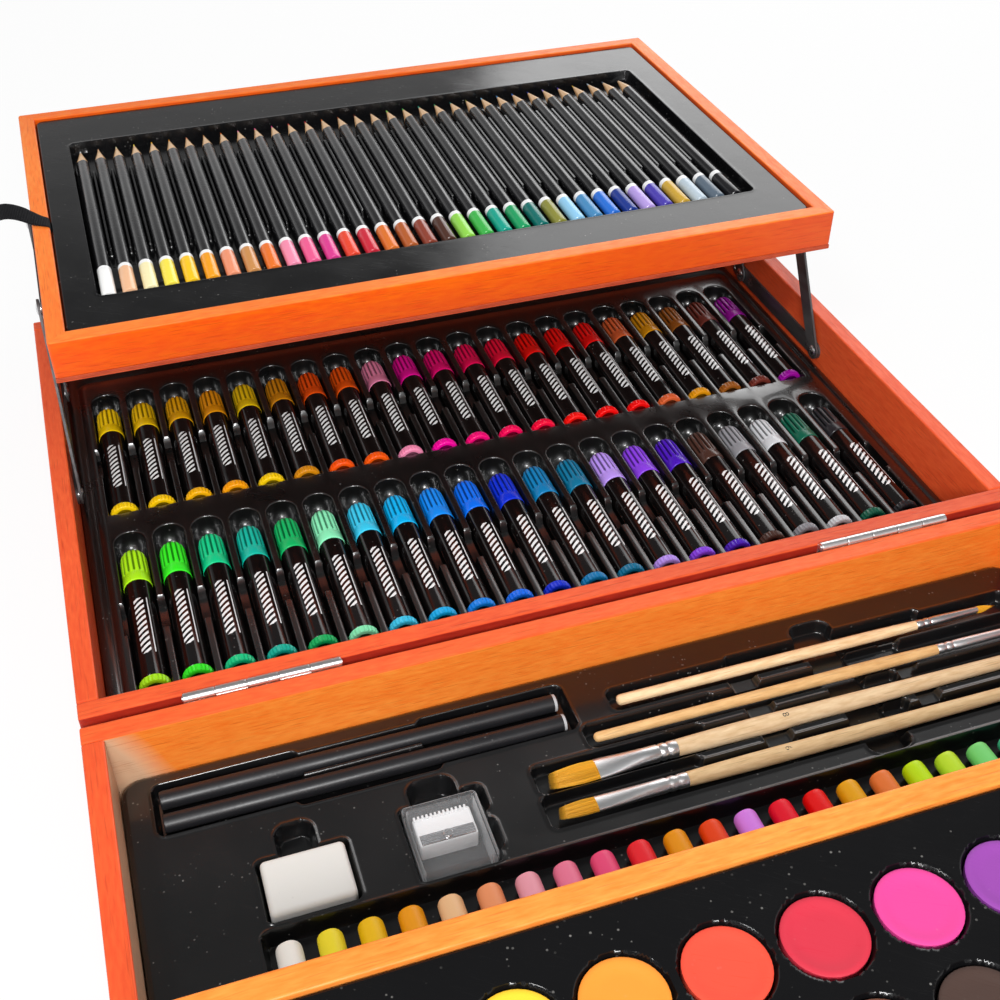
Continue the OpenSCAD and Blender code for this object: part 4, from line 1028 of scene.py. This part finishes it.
ribbon_line = np.array([[-197.72, 96.0], [-197.72, 108], [-197.74, 113.2], [-197.9, 114.6],
                        [-198.6, 115.15], [-201, 115.25], [-206.5, 115.5], [-209, 116.3],
                        [-212, 117.3], [-215, 117.9], [-218, 118.0], [-220.4, 117.6],
                        [-222.4, 116.8]])
ribbon_wide, ribbon_y = 11, 131.2
gone = np.append(0, np.cumsum(np.linalg.norm(np.diff(ribbon_line, axis=0), axis=1)))
even = np.linspace(0, gone[-1], 40)
line_x, line_z = (np.interp(even, gone, ribbon_line[:, n]) for n in (0, 1))
across = np.linspace(0, ribbon_wide, 9)[None]
lean_back = -0.5 * (line_x[:, None] + 198)
belly = 0.5 * eased(even / 46 - 0.25)[:, None] * np.cos((across / ribbon_wide - 0.5) * math.pi)
tilt = 0.33 * eased((-198.5 - line_x) / 11)[:, None] * across
grid = np.stack([np.repeat(line_x[:, None], 9, 1), ribbon_y + across + lean_back,
                 line_z[:, None] + belly + tilt], -1)
weave, weave_tree, _ = finish("grosgrain")
down_ribbon = calc(weave_tree, "MULTIPLY", map_of(weave_tree)["Y"], 340)
cords = calc(weave_tree, "SINE", down_ribbon)
dress(weave_tree, Roughness=0.7, Specular_IOR_Level=0.15,
      Base_Color=blend(weave_tree, spread(weave_tree, cords, -1, 1), (0.003, 0.003, 0.004),
                       (0.012, 0.012, 0.014)),
      Normal=bumps(weave_tree, cords, 0.6, 0.0002))
ribbon = surface("pull_ribbon_cloth", grid[None], closed=False, crease=80)
thicken = ribbon.modifiers.new("thickness", "SOLIDIFY")
thicken.thickness = 0.0003
thicken.offset = 0
fit(ribbon, weave, "pencil_tray", "pull_ribbon", slot="black_ribbon")


# ---- Walls of the lid half ----
# The same butt-jointed beech as the base. Inside its hinge wall the stain is thin and yellow, and
# it has missed the end by the left wall, where the bare wood shows.

def lid_side(low, high):
    """Corners of a board, turned over from the base half to the lid half."""
    return ((low[0], lid_middle - high[1], low[2]), (high[0], lid_middle - low[1], high[2]))


thin_deep, thin_full = (0.88, 0.17, 0.014), (0.97, 0.31, 0.045)
thin_stain = stained("thin_orange_stain", 0, thin_deep, thin_full, rim=red_rim,
                     bare=(-0.1834, -0.1702), front_only=True)
left_stain = stained("part_bare_stain", 1, red_deep, red_full, bare=(-0.18, -0.1716))
for title, corners, material, node in (
        ("lid_hinge_side_wall", hinge_wall, thin_stain, "lid_hinge_wall"),
        ("lid_latch_side_wall", far_wall, red_long, "lid_latch_wall"),
        ("lid_left_end_wall", left_wall, left_stain, "lid_left_wall"),
        ("lid_right_end_wall", right_wall, red_short, "lid_right_wall")):
    fit(surface(title, plank(*lid_side(*corners)), crease=10), material, "lid", node,
        slot="red_stained_wood")
ply_board("lid_ply", *lid_side((-case_x, -case_y, 0), (case_x, case_y, board_z)), "lid",
          "lid_board")
lid_points = [(lid_middle - y, z) for y, z in case_points]
rivets("lid_pivot_rivets", *case_rivet, lid_points, "lid", "lid_rivets")
stop_pins("lid_stop_pins", lid_middle - stop_y, "lid")
keep(bright, "latch_plates", "left_latch_lever", "right_latch_lever")


# ---- Tool insert ----
# Black plastic sheet, formed with a place for each tool of the lid: a double channel for two
# sticks, a square well, long brush channels with notched ridges between them, finger wells, and
# two wide bays for the pastels.

tool_top, brush_floor, stick_floor = 18.0, 12.95, 12.25
tool_round, tool_soft = 9.0, 2.4
satin_sheet = moulded("satin_black_sheet", (0.004, 0.004, 0.0045), 0.28, 0.35,
                      Specular_IOR_Level=0.45, Coat_Weight=0.6, Coat_Roughness=0.12)
tool_low, tool_high = (-211.0, -466.2), (211.0, -171.2)
tool_pockets = [
    ((-198, -203), (-139, -178.4), stick_floor, 3), ((-87, -203), (-22.5, -178.4), stick_floor, 3),
    ((-143, -189.6), (-83, -180.4), stick_floor, 3, 1.1),
    ((-143, -205.4), (-83, -192.2), stick_floor, 3, 1.1),
    ((-106, -255.5), (-74, -221.5), 4.0, 2), ((-100, -230), (-82, -210), 8, 5),
    ((-78, -250), (-71.5, -236), 8, 2.5), ((-80, -231), (-71.5, -219), 8, 2.5),
    ((-164.5, -254.5), (-129.5, -227.5), 8, 2), ((-155, -236), (-141, -213.6), 10, 5),
    ((-4, -199.4), (58, -188.2), brush_floor, 3), ((54, -199.4), (152, -186.8), brush_floor, 2),
    ((148, -199.4), (197, -188.8), brush_floor, 3), ((-21, -215.4), (40, -203.8), brush_floor, 3),
    ((36, -215.4), (92, -205.2), brush_floor, 2), ((104, -215.4), (134, -200.2), brush_floor, 2),
    ((130, -215.4), (202, -202.4), brush_floor, 3), ((-49, -231.4), (28, -217.8), brush_floor, 3),
    ((24, -231.4), (92, -220.4), brush_floor, 2), ((104, -231.4), (122, -216.9), brush_floor, 2),
    ((118, -231.4), (134, -220.6), brush_floor, 2), ((130, -231.4), (188, -217.8), brush_floor, 3),
    ((-50, -248.6), (20, -233.4), brush_floor, 3), ((16, -248.6), (92, -237.0), brush_floor, 2),
    ((104, -248.6), (118, -232.6), brush_floor, 2), ((114, -248.6), (178, -237.0), brush_floor, 3),
    ((89.5, -256), (108, -179.2), 12.0, 5), ((50, -240.5), (62, -191), 15.4, 1),
    ((124, -240.5), (134, -191), 15.4, 1),
    ((-168, -330.8), (201, -258.8), 10.05, 3), ((-168, -404.8), (201, -332.8), 10.05, 3)]
flat_low, flat_high = np.add(tool_low, tool_soft), np.subtract(tool_high, tool_soft)
lines_x, lines_y = (snapped(flat_low[n], flat_high[n],
                            [corner[n] for pocket in tool_pockets for corner in pocket[:2]]
                            + [flat_low[n] + 3.3, flat_high[n] - 3.3], 9, 3.0, 0.5)
                    for n in (0, 1))
lines_x = np.unique(np.append(lines_x, np.arange(-109, -69, 0.8)))
lines_x = lines_x[np.append(True, np.diff(lines_x) > 0.12)]
x, y, height = pressed(lines_x, lines_y, tool_top, tool_pockets, 2.0, 0.55)
x, y = cornered(x, y, flat_low, flat_high, tool_round - tool_soft)
edge = soft_edge(tool_low, tool_high, tool_top, skirt_bottom, tool_round, tool_soft)
formed("tool_insert", x, y, height, edge, satin_sheet, "lid")


# ---- Sketching sticks ----
# Two pressed sticks of black sketching chalk in smooth satin sleeves, one behind the other, with
# their ends cut square and edged with a thin pale ring.

stick_at = np.array([-196, -196, -195.6, -194.4, -194.4, -27.6, -27.6, -26.4, -26, -26])
stick_r = np.array([0, 3.5, 3.8, 3.9, 3.9, 3.9, 3.9, 3.8, 3.5, 0])
stick_shades = np.tile((0.012, 0.012, 0.014), (2, 9, 1))
stick_shades[:, 6] = (0.45, 0.45, 0.46)
tool_lean = math.tan(math.radians(-0.4))


def askew(grids, pivot_x):
    """Shape that lies a little crooked in its slot: Y grows by the lean times X from the pivot."""
    leaned = np.array(grids)
    leaned[..., 1] += tool_lean * (leaned[..., 0] - pivot_x)
    return leaned


stick_lines, stick_middle = [(0, -185, 16.2), (0, -196.8, 16.2)], -111
sticks = askew(turned(stick_at, stick_r, stick_lines, axis=0, sides=40), stick_middle)
fit(surface("sketching_sticks", sticks, True, stick_shades, crease=30),
    moulded("satin_black", tinted, 0.34, 0.12, 0.12), "lid", "sketch_sticks", slot="black_stick")


# ---- Sharpener in its clear box ----
# A cast alloy wedge with a ribbed grip, to which one screw holds a steel blade. It lies loose in
# a box of clear hard plastic, whose lid is pressed on over the rim and left a little scratched.

def shell(low, high, bottom, top, radius, wall_t):
    """Hollow box with round corners: loops up the outside, over the rounded top, and back down
    the inside, both ends drawn together in the middle."""
    low, high = np.array(low, float), np.array(high, float)
    point = ((low + high) / 2 - 0.02, (low + high) / 2 + 0.02, 0.01)
    steps = [(*point, bottom),
             (low + 0.6, high - 0.6, radius, bottom), (low, high, radius, bottom + 0.6),
             (low, high, radius, top - 6), (low - 0.35, high + 0.35, radius, top - 5.9),
             (low - 0.35, high + 0.35, radius, top - 0.7), (low + 0.4, high - 0.4, radius, top),
             (*point, top)]
    within = [(*point, top - wall_t),
              (low + wall_t, high - wall_t, radius - 0.4, top - wall_t),
              (low + wall_t, high - wall_t, radius - 0.4, bottom + wall_t),
              (*point, bottom + wall_t)]
    return loops(*steps), loops(*within)[:, :, ::-1]


outer, within = shell((-105.2, -254.7), (-74.8, -222.3), 4.8, 21.0, 2.0, 1.1)
clear, clear_tree, clear_place = finish("clear_plastic")
clear_marks = place(clear_tree, marks, Place=clear_place)
edge_on = add(clear_tree, "LayerWeight", 0.5).node.outputs["Facing"]
haze = calc(clear_tree, "MULTIPLY", clear_marks["Scratch"], 0.05)
# Where the box is seen edge-on it turns white and nearly opaque: painted reflection, standing in
# for the gloss of clear plastic at a slant.
cover = spread(clear_tree, edge_on, 0.4, 0.95, 0.05, 0.85)
dress(clear_tree, Base_Color=(0.93, 0.95, 0.97, 1), Specular_IOR_Level=0.8,
      Alpha=calc(clear_tree, "ADD", cover, haze), Roughness=0.05,
      Normal=bumps(clear_tree, clear_marks["Haze"], 0.1, 0.0003))
for title, grids in (("sharpener_box_outside", outer), ("sharpener_box_inside", within)):
    fit(surface(title, grids, True, closed=title.endswith("outside"), crease=35), clear, "lid",
        "sharpener_case", slot="clear_plastic")


def upright(heights, radii, spots, sides):
    """Turned shapes round upright lines: a ring of each radius at its height, round each spot."""
    heights, radii, angle = np.broadcast_arrays(np.array(heights, float)[:, None],
                                                np.array(radii, float)[:, None], circle(sides))
    ring = np.stack([radii * np.cos(angle), radii * np.sin(angle), heights], -1)
    spots = np.column_stack([np.asarray(spots, float), np.zeros(len(spots))])
    return ring + spots[:, None, None]


cast = moulded("cast_alloy", (0.93, 0.93, 0.94), 0.42, 0.08, 0.08)
blade = metal("blade_steel", (0.8, 0.8, 0.82), 0.16, (60, 2200, 60), 0.05)
fit(surface("sharpener_body", plank((-102, -238.5, 5.8), (-78, -224.6, 15.2), 1.0, 4), crease=24),
    cast, "lid", "sharpener", slot="sharpener_metal")
blade_plate = plank((-101.2, -238.3, 15.2), (-79, -233.6, 15.9), 0.2, 2)
fit(surface("sharpener_blade", blade_plate, crease=10), blade, "lid", "sharpener",
    slot="sharpener_metal")
grip_pitch, grip_bars = 1.75, 13
grip = [plank((-101.4 + grip_pitch * i, -226.4, 14.2), (-100.5 + grip_pitch * i, -224.2, 15.9),
              0.2, 2) for i in range(grip_bars)]
fit(surface("sharpener_grip", np.concatenate(grip), crease=24), cast, "lid", slot="sharpener_metal")
screw_at, screw_r = [15.9, 15.9, 16.5, 16.9, 16.9, 16.4, 16.4], [0, 2.1, 2.1, 1.7, 0.7, 0.6, 0]
screw = upright(screw_at, screw_r, [(-90, -236)], 20)
fit(surface("sharpener_screw", screw, True, crease=30), bright, "lid", slot="bright_steel")


# ---- Eraser ----
# White vinyl eraser, a moulded block with soft edges, a little hazy from handling. It lies loose
# in its own well of the insert.

white_vinyl = moulded("white_vinyl", (0.78, 0.77, 0.73), 0.55, 0.3, 0.15, Subsurface_Weight=0.1,
                      Subsurface_Radius=(0.002, 0.002, 0.0015))
eraser_block = plank((-163.7, -253.7, 8.1), (-130.3, -228.3, 20.5), 2.2, 5)
fit(surface("vinyl_eraser", eraser_block, crease=40), white_vinyl, "lid", "eraser",
    slot="eraser_rubber")


# ---- Brushes ----
# Two round and two flat brushes. Bare turned beech handles, stamped with their sizes, are pressed
# into seamless aluminium ferrules, crimped twice, and the flat ones are squeezed at the mouth.

brush_z = 17.1
brushes = [(-1, 147.5, 180, 190, -194.8, 1.6, 1.6, 2.65, 2.45),
           (-18, 148, 184, 196, -211.2, 2, 2, 2.8, 2.2),
           (185, 13, -23, -45.2, -226.0, 5.2, 1.4, 4.1, 3.0),
           (175, 10.5, -29.5, -46.5, -242.4, 3.8, 1.3, 3.6, 2.9)]
beech, beech_tree, beech_place = finish("bare_beech")
beech_marks = place(beech_tree, grain, Place=beech_place)
beech_colour = blend(beech_tree, beech_marks["Streak"], (0.68, 0.44, 0.22), (0.93, 0.71, 0.45))
beech_colour = blend(beech_tree, 1.0, beech_colour, tinted(beech_tree), blend_type="MULTIPLY")
beech_pores = spread(beech_tree, beech_marks["Pore"], 0, 1, 0, 0.5)
dress(beech_tree, Roughness=0.5, Specular_IOR_Level=0.3,
      Base_Color=blend(beech_tree, beech_pores, beech_colour, (0.42, 0.25, 0.12)),
      Normal=bumps(beech_tree, beech_marks["Streak"], 0.2, 0.0002))
brush_sides = 28
brush_turn = circle(brush_sides)
along = np.array([0, 0, 0.01, 0.10, 0.125, 0.15, 0.2, 0.225, 0.25, 0.45, 0.6, 0.75, 0.9, 0.99,
                  1.0, 1.0])
crimp = np.array([0, 0, 0, 0, 0.35, 0, 0, 0.35, 0, 0, 0, 0, 0, 0, 0, 0])
flatten = eased((along - 0.3) / 0.65)[:, None]
handles, ferrules = [], []
for end, near_x, far_x, tip, line_y, half_w, half_t, thick, blunt in brushes:
    share = np.append([0, 0, 0.05, 0.15, 0.25, 0.4, 0.6, 0.8],
                      1 - np.array([2.4, 1.6, 0.9, 0.4, 0.1, 0]) / abs(end - near_x))
    wide = np.concatenate([thick - np.array([thick, 0.5, 0.3, 0.05, 0]),
                           thick + (blunt - thick) * np.array([0.2, 0.5, 0.8]),
                           blunt * np.array([1, 0.97, 0.85, 0.62, 0.33, 0])])
    handle_at = near_x + (end - near_x) * share
    handles.append(askew(turned(handle_at, wide, [(0, line_y, brush_z)], 0, brush_sides), near_x))
    round_r = (thick - 0.45 - crimp)[:, None]
    y_r = round_r + (half_w - round_r) * flatten
    z_r = round_r + (half_t + 0.15 - round_r) * flatten
    y_r[[0, -1]] = z_r[[0, -1]] = 0
    y_r[1] = z_r[1] = thick - 0.7
    ferrule_at = np.repeat(near_x + (far_x - near_x) * along[:, None], brush_sides, 1)
    ferrules.append(askew(np.stack([ferrule_at, line_y + y_r * np.cos(brush_turn),
                                    brush_z + z_r * np.sin(brush_turn)], -1)[None], near_x))
wood_tones = np.array([[1, 0.97, 0.93], [0.95, 0.80, 0.58], [1, 1, 1], [0.98, 0.93, 0.82]])
tones = per_row(wood_tones, share.size)
fit(surface("brush_handles_beech", np.concatenate(handles), True, tones, crease=30), beech, "lid",
    "brush_handles", slot="raw_wood")
fit(surface("brush_ferrules_crimped", np.concatenate(ferrules), True, crease=40),
    metal("aluminium_tube", (0.93, 0.94, 0.95), 0.3, (25, 90, 90), 0.02), "lid",
    "brush_ferrules", slot="ferrule_aluminium")


def stamped(name, words, near_x, line_y, radius, size, material):
    """A stamped number, bent round its handle: a height along the text is an angle round it."""
    text = bpy.data.curves.new(name, "FONT")
    text.body, text.size, text.resolution_u = words, size / 1000, 3
    flat_text = bpy.data.objects.new(name, text)
    scene.collection.objects.link(flat_text)
    mesh = bpy.data.meshes.new_from_object(flat_text.evaluated_get(
        bpy.context.evaluated_depsgraph_get()))
    bpy.data.objects.remove(flat_text)
    place_in = np.zeros(len(mesh.vertices) * 3)
    mesh.vertices.foreach_get("co", place_in)
    u, v = (place_in.reshape(-1, 3)[:, :2] * 1000).T
    bent = (u - u.mean()) / radius + 0.15
    moved = np.stack([near_x + v, line_y - (radius + 0.03) * np.sin(bent),
                      brush_z + (radius + 0.03) * np.cos(bent)], -1) / 1000
    mesh.vertices.foreach_set("co", moved.ravel())
    thing = bpy.data.objects.new(name, mesh)
    scene.collection.objects.link(thing)
    fit(thing, material, "lid", slot="raw_wood")


ink = moulded("stamp_ink", (0.03, 0.02, 0.015), 0.5, 0.0, 0.0)
stamped("size_mark_8", "8", 61.6, -226.3, 4.05, 4.2, ink)
stamped("size_mark_6", "6", 54.3, -242.7, 3.55, 4.2, ink)


# ---- Brush tufts ----
# Golden synthetic filaments, glued into the ferrules. The flat ones spread a little and end in a
# straight edge, and the round ones come to a point.

def tuft(base_x, tip_x, line_y, half_w, half_t, flat, count, seed, pivot_x):
    """Tapering filaments of three sides. Each starts at a random place in the ferrule's mouth,
    spread evenly over an ellipse, and runs out along a slight curve: its distance from the axis
    is scaled by a belly, then by the tip's share of it, and its reach is a little random."""
    chance = np.random.default_rng(seed)
    spread_r = np.sqrt(chance.random(count))
    angle = chance.random(count) * 2 * math.pi
    at_y, at_z = half_w * spread_r * np.cos(angle), half_t * spread_r * np.sin(angle)
    share = np.linspace(0, 1, 6)
    if flat:
        belly = np.interp(share, [0, 0.35, 0.7, 1], [1, 1.12, 1.02, 0.8])
        thin_to = np.interp(share, [0, 0.35, 1], [1, 1.05, 0.35])
        reach = 1 - 0.05 * chance.random(count) ** 2
        reach = reach * (1 - 0.1 * (at_y / half_w + 1) / 2)
    else:
        belly = np.interp(share, [0, 0.35, 0.7, 1], [1, 1.2, 0.8, 0.12])
        thin_to = belly
        reach = 1 - 0.3 * spread_r ** 2 * chance.random(count) ** 0.3
    length = tip_x - base_x
    x = base_x - 2 * np.sign(length) * (1 - share) + length * share * reach[:, None]
    stray = (chance.random((count, 2, 1)) - 0.5) * 0.25 * share ** 2
    y = line_y + at_y[:, None] * belly + stray[:, 0]
    z = brush_z + at_z[:, None] * thin_to + stray[:, 1]
    wide = np.interp(share, [0, 0.6, 0.95, 1], [0.13, 0.12, 0.06, 0])
    side = np.radians([90, 210, 330])
    x, y, z, wide = (a[..., None] for a in (x, y, z, wide))
    return askew(np.stack([np.repeat(x, 3, 2), y + wide * np.cos(side), z + wide * np.sin(side)],
                          -1), pivot_x)


flat_over, flat_hairs, round_hairs = 3, 900, 320
hairs = []
for seed, (_, near_x, far_x, tip, line_y, half_w, half_t, _, _) in enumerate(brushes):
    flat = half_w > flat_over
    hairs.append(tuft(far_x, tip, line_y, half_w * 0.9, half_t * 0.85, flat,
                      flat_hairs if flat else round_hairs, seed, near_x))
hairs = np.concatenate(hairs)
strength = np.random.default_rng(7).uniform(0.75, 1.03, (len(hairs), 1))
golden = np.array([0.97, 0.47, 0.02]) * strength
hair, hair_tree, _ = finish("golden_filament")
paler = spread(hair_tree, map_of(hair_tree)["Y"], 0.2, 1.0, 0.0, 0.35)
dress(hair_tree, Roughness=0.38, Specular_IOR_Level=0.5,
      Base_Color=blend(hair_tree, paler, tinted(hair_tree), (0.97, 0.56, 0.08)))
fit(surface("brush_tuft_filaments", hairs, True, per_row(golden, hairs.shape[1]), crease=180),
    hair, "lid", "brush_tufts", slot="brush_hair")


# ---- Oil pastels ----
# Two rows of 24 soft wax sticks, each rolled in black paper that leaves one end bare. The paper
# overlaps itself in a thin seam, and the bare wax is a little rubbed and crumbled.

pastel_dyes = dyes(
    "f4f1ea f6e46a f6c92a efa62c f0c8a0 e9a07c f2b0bc f090a8 e86a8a d84a4e f1a52c e8604a "
    "c98ad6 e23a4e d8323e d8a24a e88a5e b8d832 b6d45a 7cc47a 58b08a 2f8a6a 2a7a4a 3a5a3a "
    "bfe0ee 7fc4e4 4aa0dc 2a70c4 28489c 1f2e6e 6a4aa4 8e5ab4 a87ac4 c8a0d4 8a5a3a a8703c "
    "c48a4c 6a3e28 4a2e24 2e2420 9a9a9a 6e6e70 48484a c8c8c6 e8d8b8 d8b890 b89060 1c1c1e",
    1.25, 1.4)
pastel_x0, pastel_pitch, pastels_in = -160, 15.4, 24
pastel_rows, pastel_z = (-324.8, -398.8), 15.4
pastel_places = [(pastel_x0 + pastel_pitch * i, start, pastel_z)
                 for start in pastel_rows for i in range(pastels_in)]
wax_at = np.array([47.4, 47.4, 48.4, 57.6, 58.9, 59.7, 60.0, 60.0])
wax_r = np.array([0, 5.0, 5.05, 5.0, 4.85, 4.4, 3.6, 0])
wax_sides, paper_sides, paper_thick = 24, 32, 0.12
crumb = 1 + 0.012 * np.cos(5 * circle(wax_sides))
wax = moulded("oil_wax", tinted, 0.38, 0.12, 0.2, Specular_IOR_Level=0.35)
bare_ends = turned(wax_at, wax_r[:, None] * crumb, pastel_places, sides=wax_sides)
fit(surface("pastel_bare_ends", bare_ends, True, per_row(pastel_dyes, wax_at.size), crease=35),
    wax, "lid", "pastel_sticks", slot="pastel_wax")
seam = paper_thick * (np.mod(circle(paper_sides) / (2 * math.pi) + 0.1, 1) < 0.06)
paper_at = np.array([0, 0, 0.3, 0.9, 47.2, 48.0, 48.0])
paper_r = np.array([0, 4.6, 5.1, 5.28, 5.28, 5.22, 0])[:, None]
seamed_r = (paper_r - paper_thick + seam) * (paper_r > 0)
wraps = turned(paper_at, seamed_r, pastel_places, sides=paper_sides)
fit(surface("pastel_paper_wraps", wraps, True, crease=30),
    moulded("black_paper", (0.016, 0.016, 0.018), 0.55, 0.1, 0.1), "lid", "pastel_papers",
    slot="paper_wrap")


# ---- Lid tray ----
# The same mitred frame of beech strips on ply as the pencil tray, with a paler orange stain.
# Rivets hang it on its own four links.

lid_low, lid_high = (-tray_x, lid_middle - tray_y1), (tray_x, lid_middle - tray_y0)
pale_deep, pale_full = (0.90, 0.20, 0.02), (0.97, 0.38, 0.075)
pale_long = stained("pale_orange_stain_long", 0, pale_deep, pale_full)
pale_short = stained("pale_orange_stain_short", 1, pale_deep, pale_full)
strips("lid_tray_long_strips", lid_low, lid_high, [0, 2], pale_long, "lid_tray",
       "lid_tray_long_walls")
strips("lid_tray_side_strips", lid_low, lid_high, [1, 3], pale_short, "lid_tray",
       "lid_tray_side_walls")
ply_board("lid_tray_ply", (*lid_low, tray_bottom), (*lid_high, wall_bottom), "lid_tray",
          "lid_tray_board")
rivets("lid_tray_rivets", *tray_rivet, [(lid_middle - y, z) for y, z in tray_points],
       "lid_tray", "lid_tray_fixings")


# ---- Paint insert ----
# Black plastic sheet, formed with two rows of round paint wells and one bay for wax crayons. It
# drops in between the strips of the lid tray.

cake_pitch, cake_rows, cakes_in = 31.0, (-372, -406), 12
cake_spots = [(cake_pitch * (i - (cakes_in - 1) / 2), row)
              for row in cake_rows for i in range(cakes_in)]
paint_low, paint_high, paint_lip = (-197.5, -595.27), (197.5, -343.27), 0.8
well_r, well_floor = 13.6, 108
crayon_low, crayon_high, crayon_floor = (-184, -554), (184, -448), 105.85
paint_pockets = [((x - well_r, y - well_r), (x + well_r, y + well_r), well_floor, well_r)
                 for x, y in cake_spots]
paint_pockets.append((crayon_low, crayon_high, crayon_floor, 4))
inner_low, inner_high = np.add(paint_low, paint_lip), np.subtract(paint_high, paint_lip)
wells_low, wells_high, well_step = -423, -354, 0.85
lines_x = snapped(inner_low[0], inner_high[0], [crayon_low[0], crayon_high[0]], well_step)
lines_y = np.unique(np.concatenate([
    snapped(inner_low[1], wells_low - 1, [crayon_low[1], crayon_high[1]], 10),
    np.arange(wells_low, wells_high, well_step), np.linspace(wells_high + 1, inner_high[1], 4)]))
x, y, height = pressed(lines_x, lines_y, pencil_top, paint_pockets)
edge = loops((inner_low, inner_high, 0.01, pencil_top),
             (np.add(paint_low, 0.2), np.subtract(paint_high, 0.2), 1, pencil_top - 0.2),
             (paint_low, paint_high, 1, pencil_top - 0.9),
             (paint_low, paint_high, 1, tray_skirt))[:, :, ::-1]
formed("paint_insert", x, y, height, edge, black_sheet, "lid_tray")


# ---- Watercolour cakes ----
# Round cakes of pressed paint, a shallow dish in the top of each from the press, a little dusty.
# Each lies loose in its well.

cake_dyes = dyes("f4f2ee f6e24a f4c020 ef8a24 e2442c c4243a d83a8a 8a3a9a 3f3aa0 2458b8 2f8fd0 "
                 "38b0b8 1f8f5a 5ab03c a8c83a c88a3a 9a5a2c 6a3a24 3f2a22 8a8a8c 4a4a4c 1c1c1e "
                 "c8a04a b8bcc0")
cake_at = [108.0, 108.0, 112.2, 112.5, 112.5, 111.9, 111.7, 111.7]
cake_r = [0, 12.9, 13.0, 12.6, 11.2, 9.8, 7, 0]
pressed_paint = moulded("pressed_paint", tinted, 0.62, 0.1, 0.25)
fit(surface("watercolour_cakes", upright(cake_at, cake_r, cake_spots, 40), True,
            per_row(cake_dyes, len(cake_at)), crease=40), pressed_paint, "lid_tray",
    "paint_cakes", slot="paint")


# ---- Wax crayons ----
# Moulded wax sticks with a blunt cone at one end, each in a dull paper sleeve of its own colour.
# They lie side by side in the bay of the paint insert.

crayon_pitch, crayon_y, crayon_z, crayons_in = 15.0, -546.0, 109.9, 24
crayon_places = [(crayon_pitch * (i - (crayons_in - 1) / 2), crayon_y, crayon_z)
                 for i in range(crayons_in)]
crayon_at = np.array([0, 0, 0.4, 6, 6, 6.2, 70, 70.2, 70.2, 81, 81, 89.2, 90, 90])
crayon_r = np.array([0, 3.4, 3.8, 3.8, 3.95, 4.0, 4.0, 3.95, 3.75, 3.75, 3.2, 1.8, 1.3, 0])
crayon_dyes = np.roll(cake_dyes, 5, 0)
crayon_shades = per_row(crayon_dyes, crayon_at.size)
crayon_shades[:, 4:8] *= 0.75
fit(surface("wax_crayons_sleeved", turned(crayon_at, crayon_r, crayon_places, sides=24), True,
            crayon_shades, crease=28), wax, "lid_tray", "wax_crayons", slot="pastel_wax")
